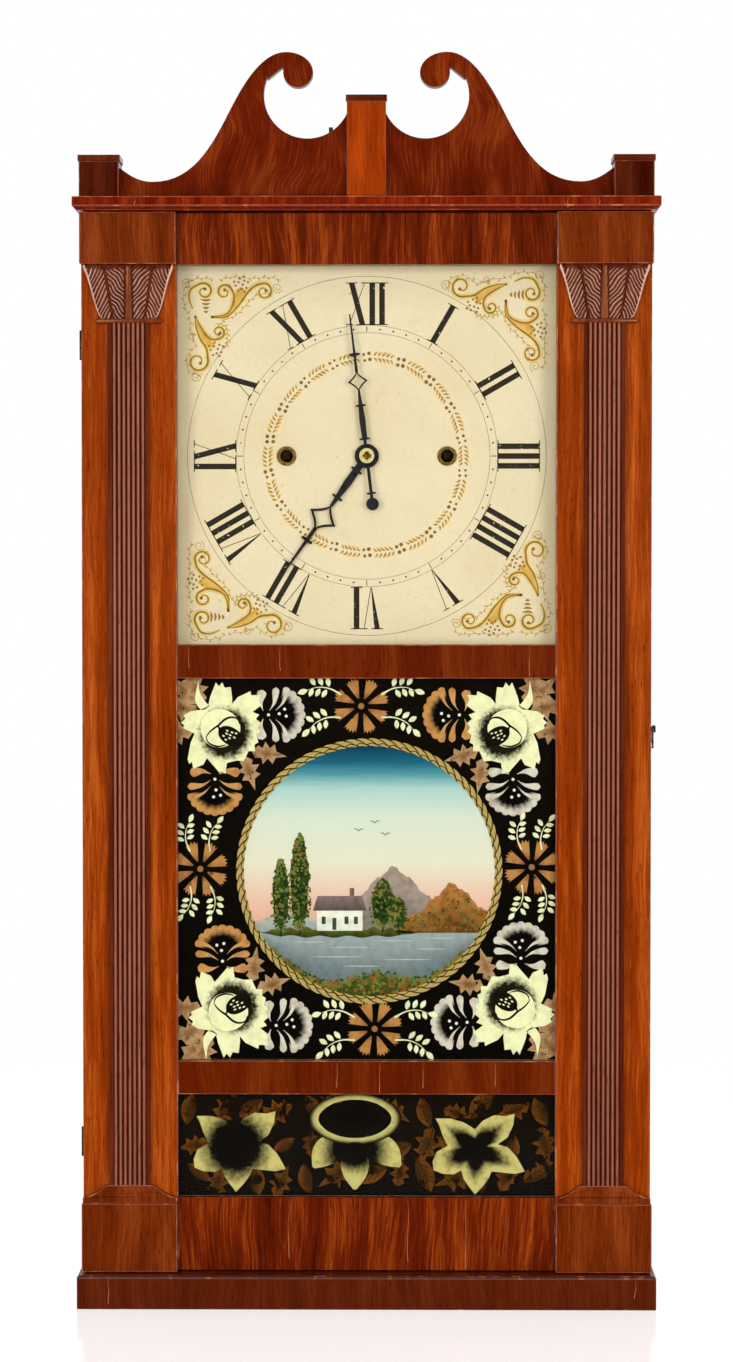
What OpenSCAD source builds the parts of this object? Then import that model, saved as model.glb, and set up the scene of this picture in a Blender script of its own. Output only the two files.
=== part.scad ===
// Weight-driven shelf clock with reeded pilasters and a scroll crest.
// Millimetres. +Z is up, the front faces -Y, and the origin is under the middle of the base.

/* [Case] */
// Width of the case and of its door
case_w = 422; // [410:1:440]
// Depth of the case sides, front edge to back
case_d = 96; // [92:1:130]
// Thickness of the case sides
side_t = 12; // [10:0.5:16]
// Thickness of the back board
back_t = 8; // [6:0.5:10]
// Height of the base board
base_h = 25; // [18:0.5:40]
// How far the base board stands in front of the corner blocks
base_lip = 10; // [7:0.5:20]
// How far the base board stands out past the case at each end
base_over = 3.5; // [2:0.5:5]
// Thickness of the cornice board
cornice_t = 10; // [8:0.5:16]
// How far the cornice stands in front of the corner blocks
cornice_lip = 7; // [4:0.5:10]
// How far the cornice stands out past the case at each end
cornice_over = 5.5; // [5:0.5:14]
// Bevel along the under edge of the cornice
cornice_bevel = 3; // [1:0.5:5]
// Bevel along the top edge of the base board
base_bevel = 1.5; // [0.5:0.5:4]

/* [Door] */
// Thickness of the door frame
door_t = 19; // [16:0.5:24]
// Gap between the closed door and the case
door_gap = 1; // [0.5:0.1:1.5]
// Gap above and below the door
door_clear = 0.8; // [0.5:0.1:2]
// Width of each door stile
stile_w = 70.5; // [60:0.5:80]
// Height of the bottom rail
bottom_rail_h = 54.5; // [45:0.5:70]
// Height of the opening for the lower glass
lower_open_h = 77; // [60:0.5:100]
// Height of the two cross rails
cross_rail_h = 25.2; // [18:0.2:36]
// Height of the opening for the painted tablet
tablet_open_h = 284.5; // [240:0.5:320]
// Height of the opening for the dial
dial_open_h = 280.8; // [250:0.2:310]
// Height of the top rail
top_rail_h = 38; // [30:0.5:50]
// How far the glass sits behind the front of the frame
glass_set = 6; // [4:0.5:8]
// Thickness of the glass
glass_t = 2; // [1.5:0.1:3]
// Width of the rebate that holds the glass
rebate_w = 5; // [3:0.5:8]
// Thickness of the strips that hold the glass in its rebate
strip_t = 4; // [2:0.5:5]

/* [Blocks and pilasters] */
// How far the corner blocks stand proud of the door frame
block_proj = 8; // [6:0.5:12]
// How far the corner blocks stand out past the edge of the door
block_over = 0.7; // [0:0.1:1.2]
// Height of the lower corner blocks
lower_block_h = 51; // [40:0.5:65]
// Number of reeds on each pilaster
reed_n = 7; // [5:1:9]
// Width of one reed
reed_w = 3.4; // [3:0.1:4]
// Width of the plain fillet on each side of the reeds
fillet_w = 6; // [4:0.5:8]
// Thickness of a pilaster
pilaster_t = 5; // [4:0.5:6]
// Height of the moulded foot under each pilaster
foot_h = 13.3; // [10:0.1:20]
// Height of the plain fillet at the bottom of the foot
foot_fillet_h = 4; // [2:0.5:6]
// Height of the carved part of a capital
capital_h = 39; // [30:0.5:50]
// Width of a capital at its top
capital_top_w = 68; // [60:0.5:70]
// Width of a capital at its bottom
capital_low_w = 46; // [40:0.5:56]
// How far a capital stands proud of the door frame at its top
capital_proj = 7.6; // [6:0.2:8]
// Height of the moulding ring under a capital
astragal_h = 4.5; // [3:0.5:6]
// Width of the moulding ring under a capital
astragal_w = 49; // [42:0.5:56]

/* [Crest] */
// Thickness of the crest board
crest_t = 10; // [7:0.5:14]
// How far the crest is set back behind the plinth fronts
crest_set = 8; // [4:0.5:12]
// How far the plinth fronts are set back behind the cornice front
plinth_set = 8; // [4:0.5:16]
// Height of the crest at the top of its scrolls
crest_h = 107.6; // [95:0.1:125]
// Distance from the middle to the highest point of a scroll
scroll_x = 59.5; // [52:0.5:66]
// Radius of the ball that ends a scroll
ball_r = 11.1; // [9:0.1:13]
// Radius of the round opening under a scroll
opening_r = 32.2; // [29:0.1:33]
// Distance from the middle to the centre of that opening
opening_x = 43.6; // [42:0.1:46]
// Lowest height of the crest, beside the corner plinths
dip_h = 12.3; // [8:0.1:18]
// Distance from the corner plinth to that lowest point
dip_x = 24.4; // [18:0.2:34]
// Width and depth of a corner plinth
plinth_w = 29.6; // [24:0.2:36]
// Height of a corner plinth without its cap
plinth_h = 26.8; // [24:0.2:40]
// Width of the middle plinth
mid_plinth_w = 28.8; // [24:0.2:36]
// Height of the middle plinth without its cap
mid_plinth_h = 70.6; // [66:0.2:85]
// Thickness of a plinth cap
cap_t = 4.4; // [3:0.2:7]
// How far a plinth cap stands out all round
cap_over = 0.8; // [0.4:0.1:2]
// Distance of the iron stay from the middle of the crest
stay_x = 26.5; // [22:0.5:32]
// Height of the iron stay
stay_h = 53.5; // [40:0.5:60]

/* [Dial and hands] */
// Thickness of the dial board
dial_t = 6; // [4:0.5:8]
// How far the dial is set back from the front of the case sides
dial_set = 5; // [3.5:0.5:8]
// Depth of the rebate that holds the dial in each side
dial_rebate = 5; // [3:0.5:7]
// How far the dial reaches above and below its opening
dial_margin = 12; // [6:0.5:12]
// Distance of each winding hole from the middle of the dial
winding_x = 60; // [57:0.5:63]
// Radius of the hole through a winding grommet
winding_r = 4.8; // [4:0.1:6]
// Radius of a winding grommet's flange
grommet_r = 7.3; // [6.5:0.1:10]
// Length of the minute hand from the middle
minute_len = 106; // [90:1:125]
// Length of the hour hand from the middle
hour_len = 110; // [85:1:125]
// Thickness of the hands
hand_t = 1.2; // [0.8:0.1:1.6]
// Angle of the minute hand, clockwise from twelve
minute_at = -6.9; // [-180:0.1:180]
// Angle of the hour hand, clockwise from twelve
hour_at = 215.5; // [0:0.5:360]

/* [Movement] */
// Width of the movement plates
plate_w = 196; // [190:1:210]
// Height of the plates above the middle of the dial
plate_up = 118; // [116:1:130]
// Height of the plates below the middle of the dial
plate_down = 78; // [72:1:90]
// Thickness of each plate
plate_t = 5; // [4:0.5:7]
// Depth of the rails that carry the movement on the back board
rail_d = 9; // [6:0.5:14]
// Distance between the dial and the front plate
works_gap = 22; // [20:0.5:24]
// Radius of the plate pillars
pillar_r = 5; // [4:0.5:7]
// Radius of the wheel arbors
arbor_r = 2; // [1.5:0.1:2.2]
// Running clearance of every pivot in its hole
pivot_gap = 0.3; // [0.2:0.05:0.4]
// Radius of the cord drums
drum_r = 14; // [12:0.5:16]
// Number of teeth on the escape wheel
escape_n = 37; // [30:1:42]
// Radius of the escape wheel
escape_r = 19; // [17:0.5:20]
// Distance of the pendulum from the middle of the dial, to the left
pendulum_x = 11; // [10:0.5:13]
// Length from the suspension to the middle of the bob
pendulum_len = 645; // [600:1:665]
// Radius of the bob
bob_r = 24; // [18:0.5:30]
// Thickness of the bob at its middle
bob_t = 10; // [7:0.5:14]
// Radius of the bell
bell_r = 30; // [26:0.5:32]
// Height of the bell
bell_h = 20; // [16:0.5:22]
// Gap between the resting hammer and the bell
hammer_gap = 3; // [2.5:0.1:5]

/* [Weights and cords] */
// Radius of a driving weight
weight_r = 22; // [16:0.5:24]
// Height of a driving weight
weight_h = 110; // [80:1:140]
// Height of a run-down weight above the base board
weight_rest = 10; // [4:1:40]
// Radius of a weight cord
cord_r = 0.9; // [0.6:0.1:1.2]
// Gap between a weight and the side of the case
weight_gap = 12.6; // [6:0.2:20]
// Distance of the pulley axles under the cornice
pulley_drop = 31; // [26:0.5:60]
// Radius of the cord's seat in a pulley
pulley_seat_r = 7.2; // [6:0.1:9]
// How far a pulley's rims stand above the seat
pulley_rim = 2; // [1.6:0.1:3]

/* [Hinges and latch] */
// Length of a hinge
hinge_len = 22; // [16:0.5:32]
// Radius of a hinge knuckle
knuckle_r = 1.5; // [1.3:0.1:2]
// Radius of a hinge pin
pin_r = 0.7; // [0.5:0.1:0.8]
// Width of a hinge leaf
leaf_w = 9; // [6:0.5:9.5]
// Thickness of a hinge leaf
leaf_t = 1; // [0.6:0.1:1.2]
// Distance of the upper hinge below the top of the door
upper_hinge_drop = 96; // [70:1:140]
// Distance of the lower hinge above the bottom of the door
lower_hinge_rise = 93; // [80:1:140]
// Height of the latch above the base board
latch_rise = 404; // [300:1:460]
// Distance from the hook's pivot to its catch
hook_reach = 12; // [11:0.5:13]
// Radius of the hook's screw and of its catch
hook_pin_r = 1.2; // [1:0.1:1.4]

/* [Hidden] */
$fn = 48;
WOOD = "sienna";
DARK_WOOD = "saddlebrown";
WORKS_WOOD = "burlywood";
BRASS = "goldenrod";
IRON = "dimgray";

// Front to back
plate_gap = case_d - dial_set - dial_t - works_gap - 2 * plate_t - rail_d - back_t;
total_d = base_lip + block_proj + door_t + door_gap + case_d;
y_front = -total_d / 2;
y_block = y_front + base_lip;
y_door = y_block + block_proj;
y_door_back = y_door + door_t;
y_case = y_door_back + door_gap;
y_back = y_case + case_d;
y_board = y_back - back_t;
y_dial = y_case + dial_set;
y_dial_back = y_dial + dial_t;
y_plate = y_dial_back + works_gap;
y_works = y_plate + plate_t;
y_works_back = y_works + plate_gap;
y_plate_back = y_works_back + plate_t;
y_glass = y_door + glass_set;
y_cornice = y_block - cornice_lip;
y_plinth = y_cornice + plinth_set;
y_crest = y_plinth + crest_set;

// Across
half_w = case_w / 2;
inner_half = half_w - side_t;
open_w = case_w - 2 * stile_w;
stile_x = half_w - stile_w / 2;
dial_half = inner_half + dial_rebate;

// Bottom to top
door_h = bottom_rail_h + lower_open_h + cross_rail_h + tablet_open_h + cross_rail_h + dial_open_h
    + top_rail_h;
case_h = door_h + 2 * door_clear;
z_case = base_h;
z_door = z_case + door_clear;
z_door_top = z_door + door_h;
z_cornice = z_case + case_h;
z_crest = z_cornice + cornice_t;
lower_open = [z_door + bottom_rail_h, z_door + bottom_rail_h + lower_open_h];
tablet_open = [lower_open[1] + cross_rail_h, lower_open[1] + cross_rail_h + tablet_open_h];
dial_open = [tablet_open[1] + cross_rail_h, tablet_open[1] + cross_rail_h + dial_open_h];
PANES = [lower_open, tablet_open, dial_open];
zc = (dial_open[0] + dial_open[1]) / 2;
dial_low = dial_open[0] - dial_margin;
dial_top = dial_open[1] + dial_margin;

// Pilasters
pilaster_w = reed_n * reed_w + 2 * fillet_w;
z_foot = z_door + lower_block_h;
z_shaft = z_foot + foot_h;
z_capital_top = dial_open[1];
z_astragal = z_capital_top - capital_h - astragal_h;
leaf_groove = 2.4;

// Crest, measured from the middle and from the top of the cornice
curve_n = 14;
crest_end_x = half_w + 1 - plinth_w;
crest_end_h = 22.6;
dip_at = [dip_x - crest_end_x, dip_h];
ball_at = [9 - scroll_x, crest_h - 15];
opening_h = crest_h - 31.4;
neck_slope = [0.447, 0.894];
neck_at = [-scroll_x - 42, crest_h - 44];
cusp = [-scroll_x - 2.5, crest_h - 11.5];
neck_in = [-scroll_x - 13, crest_h - 20];
neck_out = [-scroll_x - 18, crest_h - 12];
mid_gap = 1;
stay_w = 3;
stay_t = 2;
stay_foot = 14;

// Hands and motion work
hour_y = y_dial - 4.3;
minute_y = hour_y - hand_t - 2.3;
hour_pipe_r = 5;
minute_arbor_r = 3.2;
hour_bore_r = minute_arbor_r + pivot_gap + 0.1;
dial_hole_r = 7.5;
collet_r = 5.6;
collet_t = 1.5;
square_w = 3.6;
hand_seat = 0.1;
motion_t = 3;
minute_wheel_y = y_plate - 12;
hour_wheel_y = minute_wheel_y - motion_t - 1.5;
motion_bore_r = 1.5;

// Wheel tooth: widths at pitch, tip and root as shares of the pitch, height and depth in modules
WHEEL_TOOTH = [0.36, 0.14, 0.44, 0.8, 1.2];
PINION_LEAF = [0.32, 0.12, 0.30, 0.7, 1.3];
great_n = 60;
second_pinion_n = 10;
second_n = 64;
third_n = 60;
leaf_n = 8;
motion_n = 35;
hour_n = 96;

// Arbor places, from the middle of the dial
hammer_head_w = 10;
hammer_drop = 58;
drum_at = [winding_x, 0];
second_at = [30, 30];
third_at = [22, 70];
escape_at = [-pendulum_x, 66];
verge_at = [-pendulum_x, 92];
suspension_at = [-pendulum_x, 108];
strike_drum_at = [-winding_x, 0];
strike_second_at = [-30, 30];
fly_at = [-27, 70];
bell_at = [15, -130];
hammer_at = [bell_at[0] - bell_r - hammer_gap - hammer_head_w / 2, -hammer_drop];

// Wheel places, front to back
wheel_t = 3;
great_t = 5;
great_y = y_works + 2;
ratchet_y = great_y + great_t + 0.5;
ratchet_t = 2;
drum_y = ratchet_y + ratchet_t;
drum_end = y_works_back - 10;
drum_mid = (drum_y + drum_end) / 2;
third_y = drum_y + 3.5;
strike_second_y = drum_end + 1;
second_y = strike_second_y + wheel_t + 1;
escape_t = 2.5;
escape_y = y_plate - 0.5 - escape_t;
pinion_over = 0.5;
drum_arbor_r = 3;
flange_r = drum_r + 3;
flange_t = 1.5;
ratchet_r = 11;
ratchet_n = 16;
winding_square = 5;
pillar_inset = 10;
rail_w = 22;
rail_over = 24;

// Pendulum and verge
rod_r = 1;
rod_y = y_plate - 7.6;
rod_eye_r = 3;
hang_pin_r = 1.3;
pin_head_r = 2.6;
crutch_drop = 34;
crutch_t = 1.2;
crutch_y = escape_y - 1 - crutch_t;
fork_gap = 0.4;
fork_t = 1.2;
fork_h = 4;
pallet_gap = 2.2;
verge_t = 1.6;
verge_hub_r = 3.6;
verge_reach = 52;
z_suspension = zc + suspension_at[1];
z_bob = z_suspension - pendulum_len;
nut_h = 3;

// Strike parts
pin_n = 13;
pin_ring_r = 30;
lift_pin_r = 1.2;
fly_half = 11;
fly_t = 1.6;
hammer_y = drum_end + 3;
hammer_head_r = 4.5;
bell_wall = 2.5;
bell_stud_r = 3;
bell_lead = 12;
bell_y = hammer_y - bell_lead;
tail_r = 1;
tail_y = ratchet_y;

// Weights and cords
cord_gap = 0.3;
drum_wrap_r = drum_r + cord_r + cord_gap;
pulley_wrap_r = pulley_seat_r + cord_r + cord_gap;
pulley_axle_r = 1.3;
pulley_t = 5;
cheek_t = 2.5;
cheek_w = 12;
z_pulley = z_cornice - pulley_drop;
weight_x = inner_half - weight_gap - weight_r;
pulley_x = weight_x - pulley_wrap_r;
z_weight = base_h + weight_rest;
loop_r = 4;
loop_wire_r = 1.2;
weight_cap_h = 6;
z_loop = z_weight + weight_h + weight_cap_h + loop_r;

// Hinges and latch
hinge_x = -half_w - knuckle_r - 0.2;
hinge_y = y_door_back + door_gap / 2;
HINGE_Z = [z_door + lower_hinge_rise, z_door_top - upper_hinge_drop];
knuckle_gap = 0.2;
pin_gap = 0.1;
z_latch = z_case + latch_rise;
hook_y = y_door_back - 6;
hook_half = 2.4;
hook_t = 1.4;
hook_off = 1.2;
hook_gap = 0.4;
hook_end = 2.2;
hook_head_r = 2.6;
hook_head_t = 1.1;

// Shared shapes

// A box between two corners
module box(lo, hi) {
    translate(lo) cube(hi - lo);
}

// A plate cut from a front view, from y0 back by t
module slab(y0, t) {
    translate([0, y0 + t, 0]) rotate([90, 0, 0]) linear_extrude(t) children();
}

// A moulding cut from an end view in Y and Z, centred on X
module moulding(w) {
    translate([-w / 2, 0, 0]) rotate([90, 0, 90]) linear_extrude(w) children();
}

// A round rod along Y
module rod(at, y0, y1, r) {
    translate([at[0], y0, at[1]]) rotate([-90, 0, 0]) cylinder(h = y1 - y0, r = r);
}

// A part and its mirror image on the other side of the clock
module both() {
    children();
    mirror([1, 0, 0]) children();
}

// Points along a cubic curve
function curve(p) = [for (i = [0 : curve_n]) let (t = i / curve_n, u = 1 - t)
    u * u * u * p[0] + 3 * u * u * t * p[1] + 3 * u * t * t * p[2] + t * t * t * p[3]];

function dial_point(at) = [at[0], zc + at[1]];

// Wheels

// Module of two wheels that mesh at these places
function mesh_module(a, b, n1, n2) = 2 * norm(b - a) / (n1 + n2);

// Direction from one place to another
function heading(a, b) = atan2(b[1] - a[1], b[0] - a[0]);

// Outline of a toothed wheel, with its first tooth on the X axis
module toothed(n, m, tooth) {
    r = n * m / 2;
    flank = [[r - tooth[4] * m, tooth[2]], [r, tooth[0]], [r + tooth[3] * m, tooth[1]]];
    rise = [for (f = flank) [f[0], -f[1]]];
    fall = [for (k = [2 : -1 : 0]) flank[k]];
    polygon([for (i = [0 : n - 1]) for (f = concat(rise, fall))
        let (a = 360 * i / n + f[1] * 90 * m / f[0]) f[0] * [cos(a), sin(a)]]);
}

// A wheel with a tooth towards its partner
module wheel(at, partner, n, m, y0, t) {
    slab(y0, t) translate(dial_point(at)) rotate(heading(at, partner)) toothed(n, m, WHEEL_TOOTH);
}

// A pinion with a gap towards its partner
module pinion(at, partner, n, m, y0, t) {
    slab(y0, t) translate(dial_point(at)) rotate(heading(at, partner) + 180 / n)
        toothed(n, m, PINION_LEAF);
}

// A wheel of the motion work with a gap towards its equal
module gap_wheel(at, partner, n, m, y0, t) {
    slab(y0, t) translate(dial_point(at)) rotate(heading(at, partner) + 180 / n)
        toothed(n, m, WHEEL_TOOTH);
}

// Outline of a wheel with slanted pointed teeth
module pointed(n, tip_r, root_r, lean) {
    polygon([for (i = [0 : n - 1]) for (k = [0, 1])
        let (a = 360 * (i + k * lean) / n, r = k == 0 ? tip_r : root_r) r * [cos(a), sin(a)]]);
}

// Case

module base_board() {
    w = case_w + 2 * base_over;
    color(DARK_WOOD) intersection() {
        moulding(w) polygon([[y_front, 0], [y_back, 0], [y_back, base_h],
            [y_front + base_bevel, base_h], [y_front, base_h - base_bevel]]);
        slab(y_front, total_d) polygon([[-w / 2, 0], [w / 2, 0], [w / 2, base_h - base_bevel],
            [w / 2 - base_bevel, base_h], [base_bevel - w / 2, base_h], [-w / 2, base_h - base_bevel]]);
    }
}

// Recess for a hinge leaf in the front edge of the left-hand side
module leaf_recess() {
    for (z = HINGE_Z)
        box([-half_w - 1, y_case - 1, z - hinge_len / 2],
            [leaf_w - half_w, y_case + leaf_t, z + hinge_len / 2]);
}

module left_side() {
    color(WOOD) difference() {
        mirror([1, 0, 0]) plain_side();
        leaf_recess();
    }
}

module right_side() {
    color(WOOD) plain_side();
}

// A side with the rebate for the dial
module plain_side() {
    difference() {
        box([inner_half, y_case, z_case], [half_w, y_back, z_cornice]);
        box([inner_half - 1, y_case - 1, dial_low], [dial_half, y_dial_back, dial_top]);
    }
}

module back_board() {
    color(WORKS_WOOD) box([-inner_half, y_board, z_case], [inner_half, y_back, z_cornice]);
}

module cornice_board() {
    w = case_w + 2 * cornice_over;
    b = cornice_bevel;
    color(WOOD) intersection() {
        moulding(w) polygon([[y_cornice + b, z_cornice], [y_back, z_cornice], [y_back, z_crest],
            [y_cornice, z_crest], [y_cornice, z_cornice + b]]);
        slab(y_cornice, y_back - y_cornice) polygon([[b - w / 2, z_cornice], [w / 2 - b, z_cornice],
            [w / 2, z_cornice + b], [w / 2, z_crest], [-w / 2, z_crest], [-w / 2, z_cornice + b]]);
    }
}

// Crest

// Outer edge of the left half of the crest, from its end to the top of the scroll
function crest_edge() = concat(
    curve([[-crest_end_x, crest_end_h], [-crest_end_x + 7.4, crest_end_h - 5.6],
        dip_at - [10.4, 0], dip_at]),
    curve([dip_at, dip_at + [28, 0], neck_at - 32 * neck_slope, neck_at]),
    curve([neck_at, neck_at + 26 * neck_slope, [-scroll_x - 16.7, crest_h],
        [-scroll_x, crest_h]]));

// Edge of the scroll's head, from its top round the ball to the cusp under the neck
function head_edge() = let (first = 20, last = -195, side = ball_at + ball_r * [cos(first), sin(first)])
    concat(curve([[-scroll_x, crest_h], [-scroll_x + 9, crest_h], side + [-2.4, 6.6], side]),
        [for (i = [1 : curve_n]) let (a = first + (last - first) * i / curve_n)
            ball_at + ball_r * [cos(a), sin(a)]]);

module half_crest() {
    difference() {
        polygon(concat([[0, 0], [-crest_end_x, 0]], crest_edge(),
            [[-scroll_x, opening_h], [0, mid_plinth_h - mid_gap]]));
        translate([-opening_x, opening_h]) circle(opening_r);
    }
    polygon(concat(head_edge(), [cusp, neck_in, neck_out]));
}

module crest_board() {
    color(WOOD) slab(y_crest, crest_t) translate([0, z_crest]) {
        half_crest();
        mirror([1, 0]) half_crest();
    }
}

module plinths() {
    corner = half_w + 1;
    color(WOOD) {
        box([-mid_plinth_w / 2, y_plinth, z_crest], [mid_plinth_w / 2, y_crest, z_crest + mid_plinth_h]);
        both() box([corner - plinth_w, y_plinth, z_crest],
            [corner, y_plinth + plinth_w, z_crest + plinth_h]);
    }
}

// A cap over a plinth that stands between two corners
module plinth_cap(lo, hi) {
    box([lo[0] - cap_over, lo[1] - cap_over, lo[2]], [hi[0] + cap_over, hi[1], lo[2] + cap_t]);
}

module plinth_caps() {
    corner = half_w + 1;
    color(DARK_WOOD) {
        plinth_cap([-mid_plinth_w / 2, y_plinth, z_crest + mid_plinth_h],
            [mid_plinth_w / 2, y_crest]);
        both() plinth_cap([corner - plinth_w, y_plinth, z_crest + plinth_h],
            [corner, y_plinth + plinth_w + cap_over]);
    }
}

module crest_stay() {
    back = y_crest + crest_t;
    color(IRON) translate([-stay_x - stay_w / 2, 0, z_crest]) rotate([90, 0, 90]) linear_extrude(stay_w)
        polygon([[back, 0], [back + stay_foot, 0], [back + stay_foot, stay_t], [back + stay_t, stay_t],
            [back + stay_t, stay_h], [back, stay_h]]);
}

// Door

// Space for the glass and its strips behind each opening of the door
module glass_pockets() {
    x = open_w / 2 + rebate_w;
    for (p = PANES)
        box([-x, y_glass, p[0] - rebate_w], [x, y_door_back + 1, p[1] + rebate_w]);
}

module stile() {
    difference() {
        box([open_w / 2, y_door, z_door], [half_w, y_door_back, z_door_top]);
        glass_pockets();
    }
}

module door_right_stile() {
    color(WOOD) stile();
}

module door_left_stile() {
    color(WOOD) difference() {
        mirror([1, 0, 0]) stile();
        for (z = HINGE_Z)
            box([-half_w - 1, y_door_back - leaf_t, z - hinge_len / 2],
                [leaf_w - half_w, y_door_back + 1, z + hinge_len / 2]);
    }
}

// A rail of the door between two heights
module rail(z0, z1) {
    difference() {
        box([-open_w / 2, y_door, z0], [open_w / 2, y_door_back, z1]);
        glass_pockets();
    }
}

module door_top_rail() {
    color(DARK_WOOD) rail(dial_open[1], z_door_top);
}

module door_cross_rails() {
    color(DARK_WOOD) {
        rail(lower_open[1], tablet_open[0]);
        rail(tablet_open[1], dial_open[0]);
    }
}

module door_bottom_rail() {
    color(DARK_WOOD) rail(z_door, lower_open[0]);
}

module corner_blocks() {
    color(DARK_WOOD) both() for (z = [[z_door, z_foot], [dial_open[1], z_door_top]])
        box([open_w / 2, y_block, z[0]], [half_w + block_over, y_door, z[1]]);
}

// Cross-section of a reeded pilaster, its back on the X axis and its face towards -Y
module reeded_section() {
    reeds_w = reed_n * reed_w;
    root = pilaster_t - reed_w / 2;
    translate([-pilaster_w / 2, -root]) square([pilaster_w, root]);
    for (side = [-1, 1])
        translate([side * (reeds_w + fillet_w) / 2 - fillet_w / 2, -pilaster_t])
            square([fillet_w, pilaster_t]);
    for (i = [0 : reed_n - 1])
        translate([(i + 0.5) * reed_w - reeds_w / 2, -root]) circle(r = reed_w / 2);
}

module pilasters() {
    color(DARK_WOOD) both() translate([stile_x, y_door, z_shaft])
        linear_extrude(z_astragal - z_shaft) reeded_section();
}

// A block that is cut from a front outline and from an end outline, centred on a stile
module carved_block(front, end) {
    intersection() {
        slab(y_block, block_proj) translate([stile_x, 0]) polygon(front);
        translate([stile_x, 0, 0]) moulding(stile_w + 4 * block_over + 1) polygon(end);
    }
}

// Both sides of an outline given as half widths and heights
function mirrored(edge) = concat(edge, [for (i = [len(edge) - 1 : -1 : 0]) [-edge[i][0], edge[i][1]]]);

module pilaster_feet() {
    z1 = z_foot + foot_fillet_h;
    wide = stile_w / 2;
    slim = pilaster_w / 2;
    deep = y_block + 1;
    flat = y_door - pilaster_t;
    hollow = curve([[wide, z1], [wide - 6, z1 + 1], [slim + 4, z_shaft - 4], [slim, z_shaft]]);
    rise = curve([[deep, z1], [deep, z1 + 3], [flat - 0.5, z_shaft - 4], [flat, z_shaft]]);
    color(DARK_WOOD) both() carved_block(mirrored(concat([[wide, z_foot]], hollow)),
        concat([[y_door, z_foot], [deep, z_foot]], rise, [[y_door, z_shaft]]));
}

// One capital: a flared block with grooves between its four leaves, over a moulding ring
module capital() {
    z1 = z_astragal + astragal_h;
    low = capital_low_w / 2;
    top = capital_top_w / 2;
    flare = curve([[low, z1], [low + 1, z1 + 0.4 * capital_h], [top - 7, z1 + 0.7 * capital_h],
        [top, z_capital_top]]);
    y_top = y_door - capital_proj;
    y_low = y_door - pilaster_t;
    swell = curve([[y_low, z1], [y_low - 2, z1 + 0.4 * capital_h], [y_top, z1 + 0.7 * capital_h],
        [y_top, z_capital_top]]);
    difference() {
        carved_block(mirrored(flare), concat([[y_door, z1]], swell, [[y_door, z_capital_top]]));
        for (k = [-1 : 1])
            translate([stile_x + k * capital_low_w / 4, y_top, z1])
                rotate([0, k * 13, 0]) rotate([0, 0, 45])
                    translate([-leaf_groove / 2, -leaf_groove / 2, -capital_h / 4])
                        cube([leaf_groove, leaf_groove, 1.5 * capital_h]);
    }
    box([stile_x - astragal_w / 2, y_low - 1, z_astragal], [stile_x + astragal_w / 2, y_door, z1]);
}

module capitals() {
    color(DARK_WOOD) both() capital();
}

// A pane of glass behind the opening between two heights
module pane(p) {
    fit = rebate_w - 0.2;
    color("lightcyan") box([-open_w / 2 - fit, y_glass, p[0] - fit],
        [open_w / 2 + fit, y_glass + glass_t, p[1] + fit]);
}

module dial_glass() {
    pane(dial_open);
}

module tablet_glass() {
    pane(tablet_open);
}

module lower_glass() {
    pane(lower_open);
}

module glazing_strips() {
    y0 = y_glass + glass_t;
    x = open_w / 2;
    color(WORKS_WOOD) for (p = PANES) difference() {
        box([-x - rebate_w, y0, p[0] - rebate_w], [x + rebate_w, y0 + strip_t, p[1] + rebate_w]);
        box([-x, y0 - 1, p[0]], [x, y0 + strip_t + 1, p[1]]);
    }
}

// Hinges and latch

// Heights of the middle knuckle of a hinge
function knuckle_span(z) = [z - hinge_len / 6, z + hinge_len / 6];

// A knuckle between two heights, with its tongue to a leaf that lies at y0
module knuckle(z0, z1, y0) {
    translate([hinge_x, hinge_y, z0]) cylinder(h = z1 - z0, r = knuckle_r);
    box([hinge_x, y0, z0], [leaf_w - half_w, y0 + leaf_t, z1]);
}

module hinge_case_leaves() {
    color(BRASS) for (z = HINGE_Z) {
        k = knuckle_span(z);
        union() {
            box([knuckle_gap - half_w, y_case, z - hinge_len / 2],
                [leaf_w - half_w, y_case + leaf_t, z + hinge_len / 2]);
            knuckle(z - hinge_len / 2, k[0], y_case);
            knuckle(k[1], z + hinge_len / 2, y_case);
            translate([hinge_x, hinge_y, k[0]]) cylinder(h = k[1] - k[0], r = pin_r);
        }
    }
}

module hinge_door_leaves() {
    y0 = y_door_back - leaf_t;
    color(BRASS) for (z = HINGE_Z) {
        k = knuckle_span(z);
        difference() {
            union() {
                box([knuckle_gap - half_w, y0, z - hinge_len / 2],
                    [leaf_w - half_w, y_door_back, z + hinge_len / 2]);
                knuckle(k[0] + knuckle_gap, k[1] - knuckle_gap, y0);
            }
            translate([hinge_x, hinge_y, k[0]]) cylinder(h = k[1] - k[0], r = pin_r + pin_gap);
        }
    }
}

// A round-headed screw that stands out of the right-hand side
module side_screw(y) {
    shank = hook_off + hook_t + 0.4;
    translate([half_w, y, z_latch]) rotate([0, 90, 0]) {
        cylinder(h = shank, r = hook_pin_r);
        translate([0, 0, shank]) cylinder(h = hook_head_t, r = hook_head_r);
    }
}

module hook_screw() {
    color(BRASS) side_screw(hook_y);
}

module catch_pin() {
    color(BRASS) side_screw(hook_y + hook_reach);
}

// The hook hangs from its screw, with its notch open to the back
module door_hook() {
    bore = hook_pin_r + hook_gap;
    color(BRASS) translate([half_w + hook_off, hook_y, z_latch]) rotate([90, 0, 90])
        linear_extrude(hook_t) difference() {
            union() {
                circle(r = hook_half);
                translate([-hook_half, -hook_reach - hook_end])
                    square([2 * hook_half, hook_reach + hook_end]);
            }
            circle(r = hook_pin_r + pivot_gap);
            translate([0, -hook_reach]) circle(r = bore);
            translate([0, -hook_reach - bore]) square([hook_half + 1, 2 * bore]);
        }
}

// Dial and hands

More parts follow.
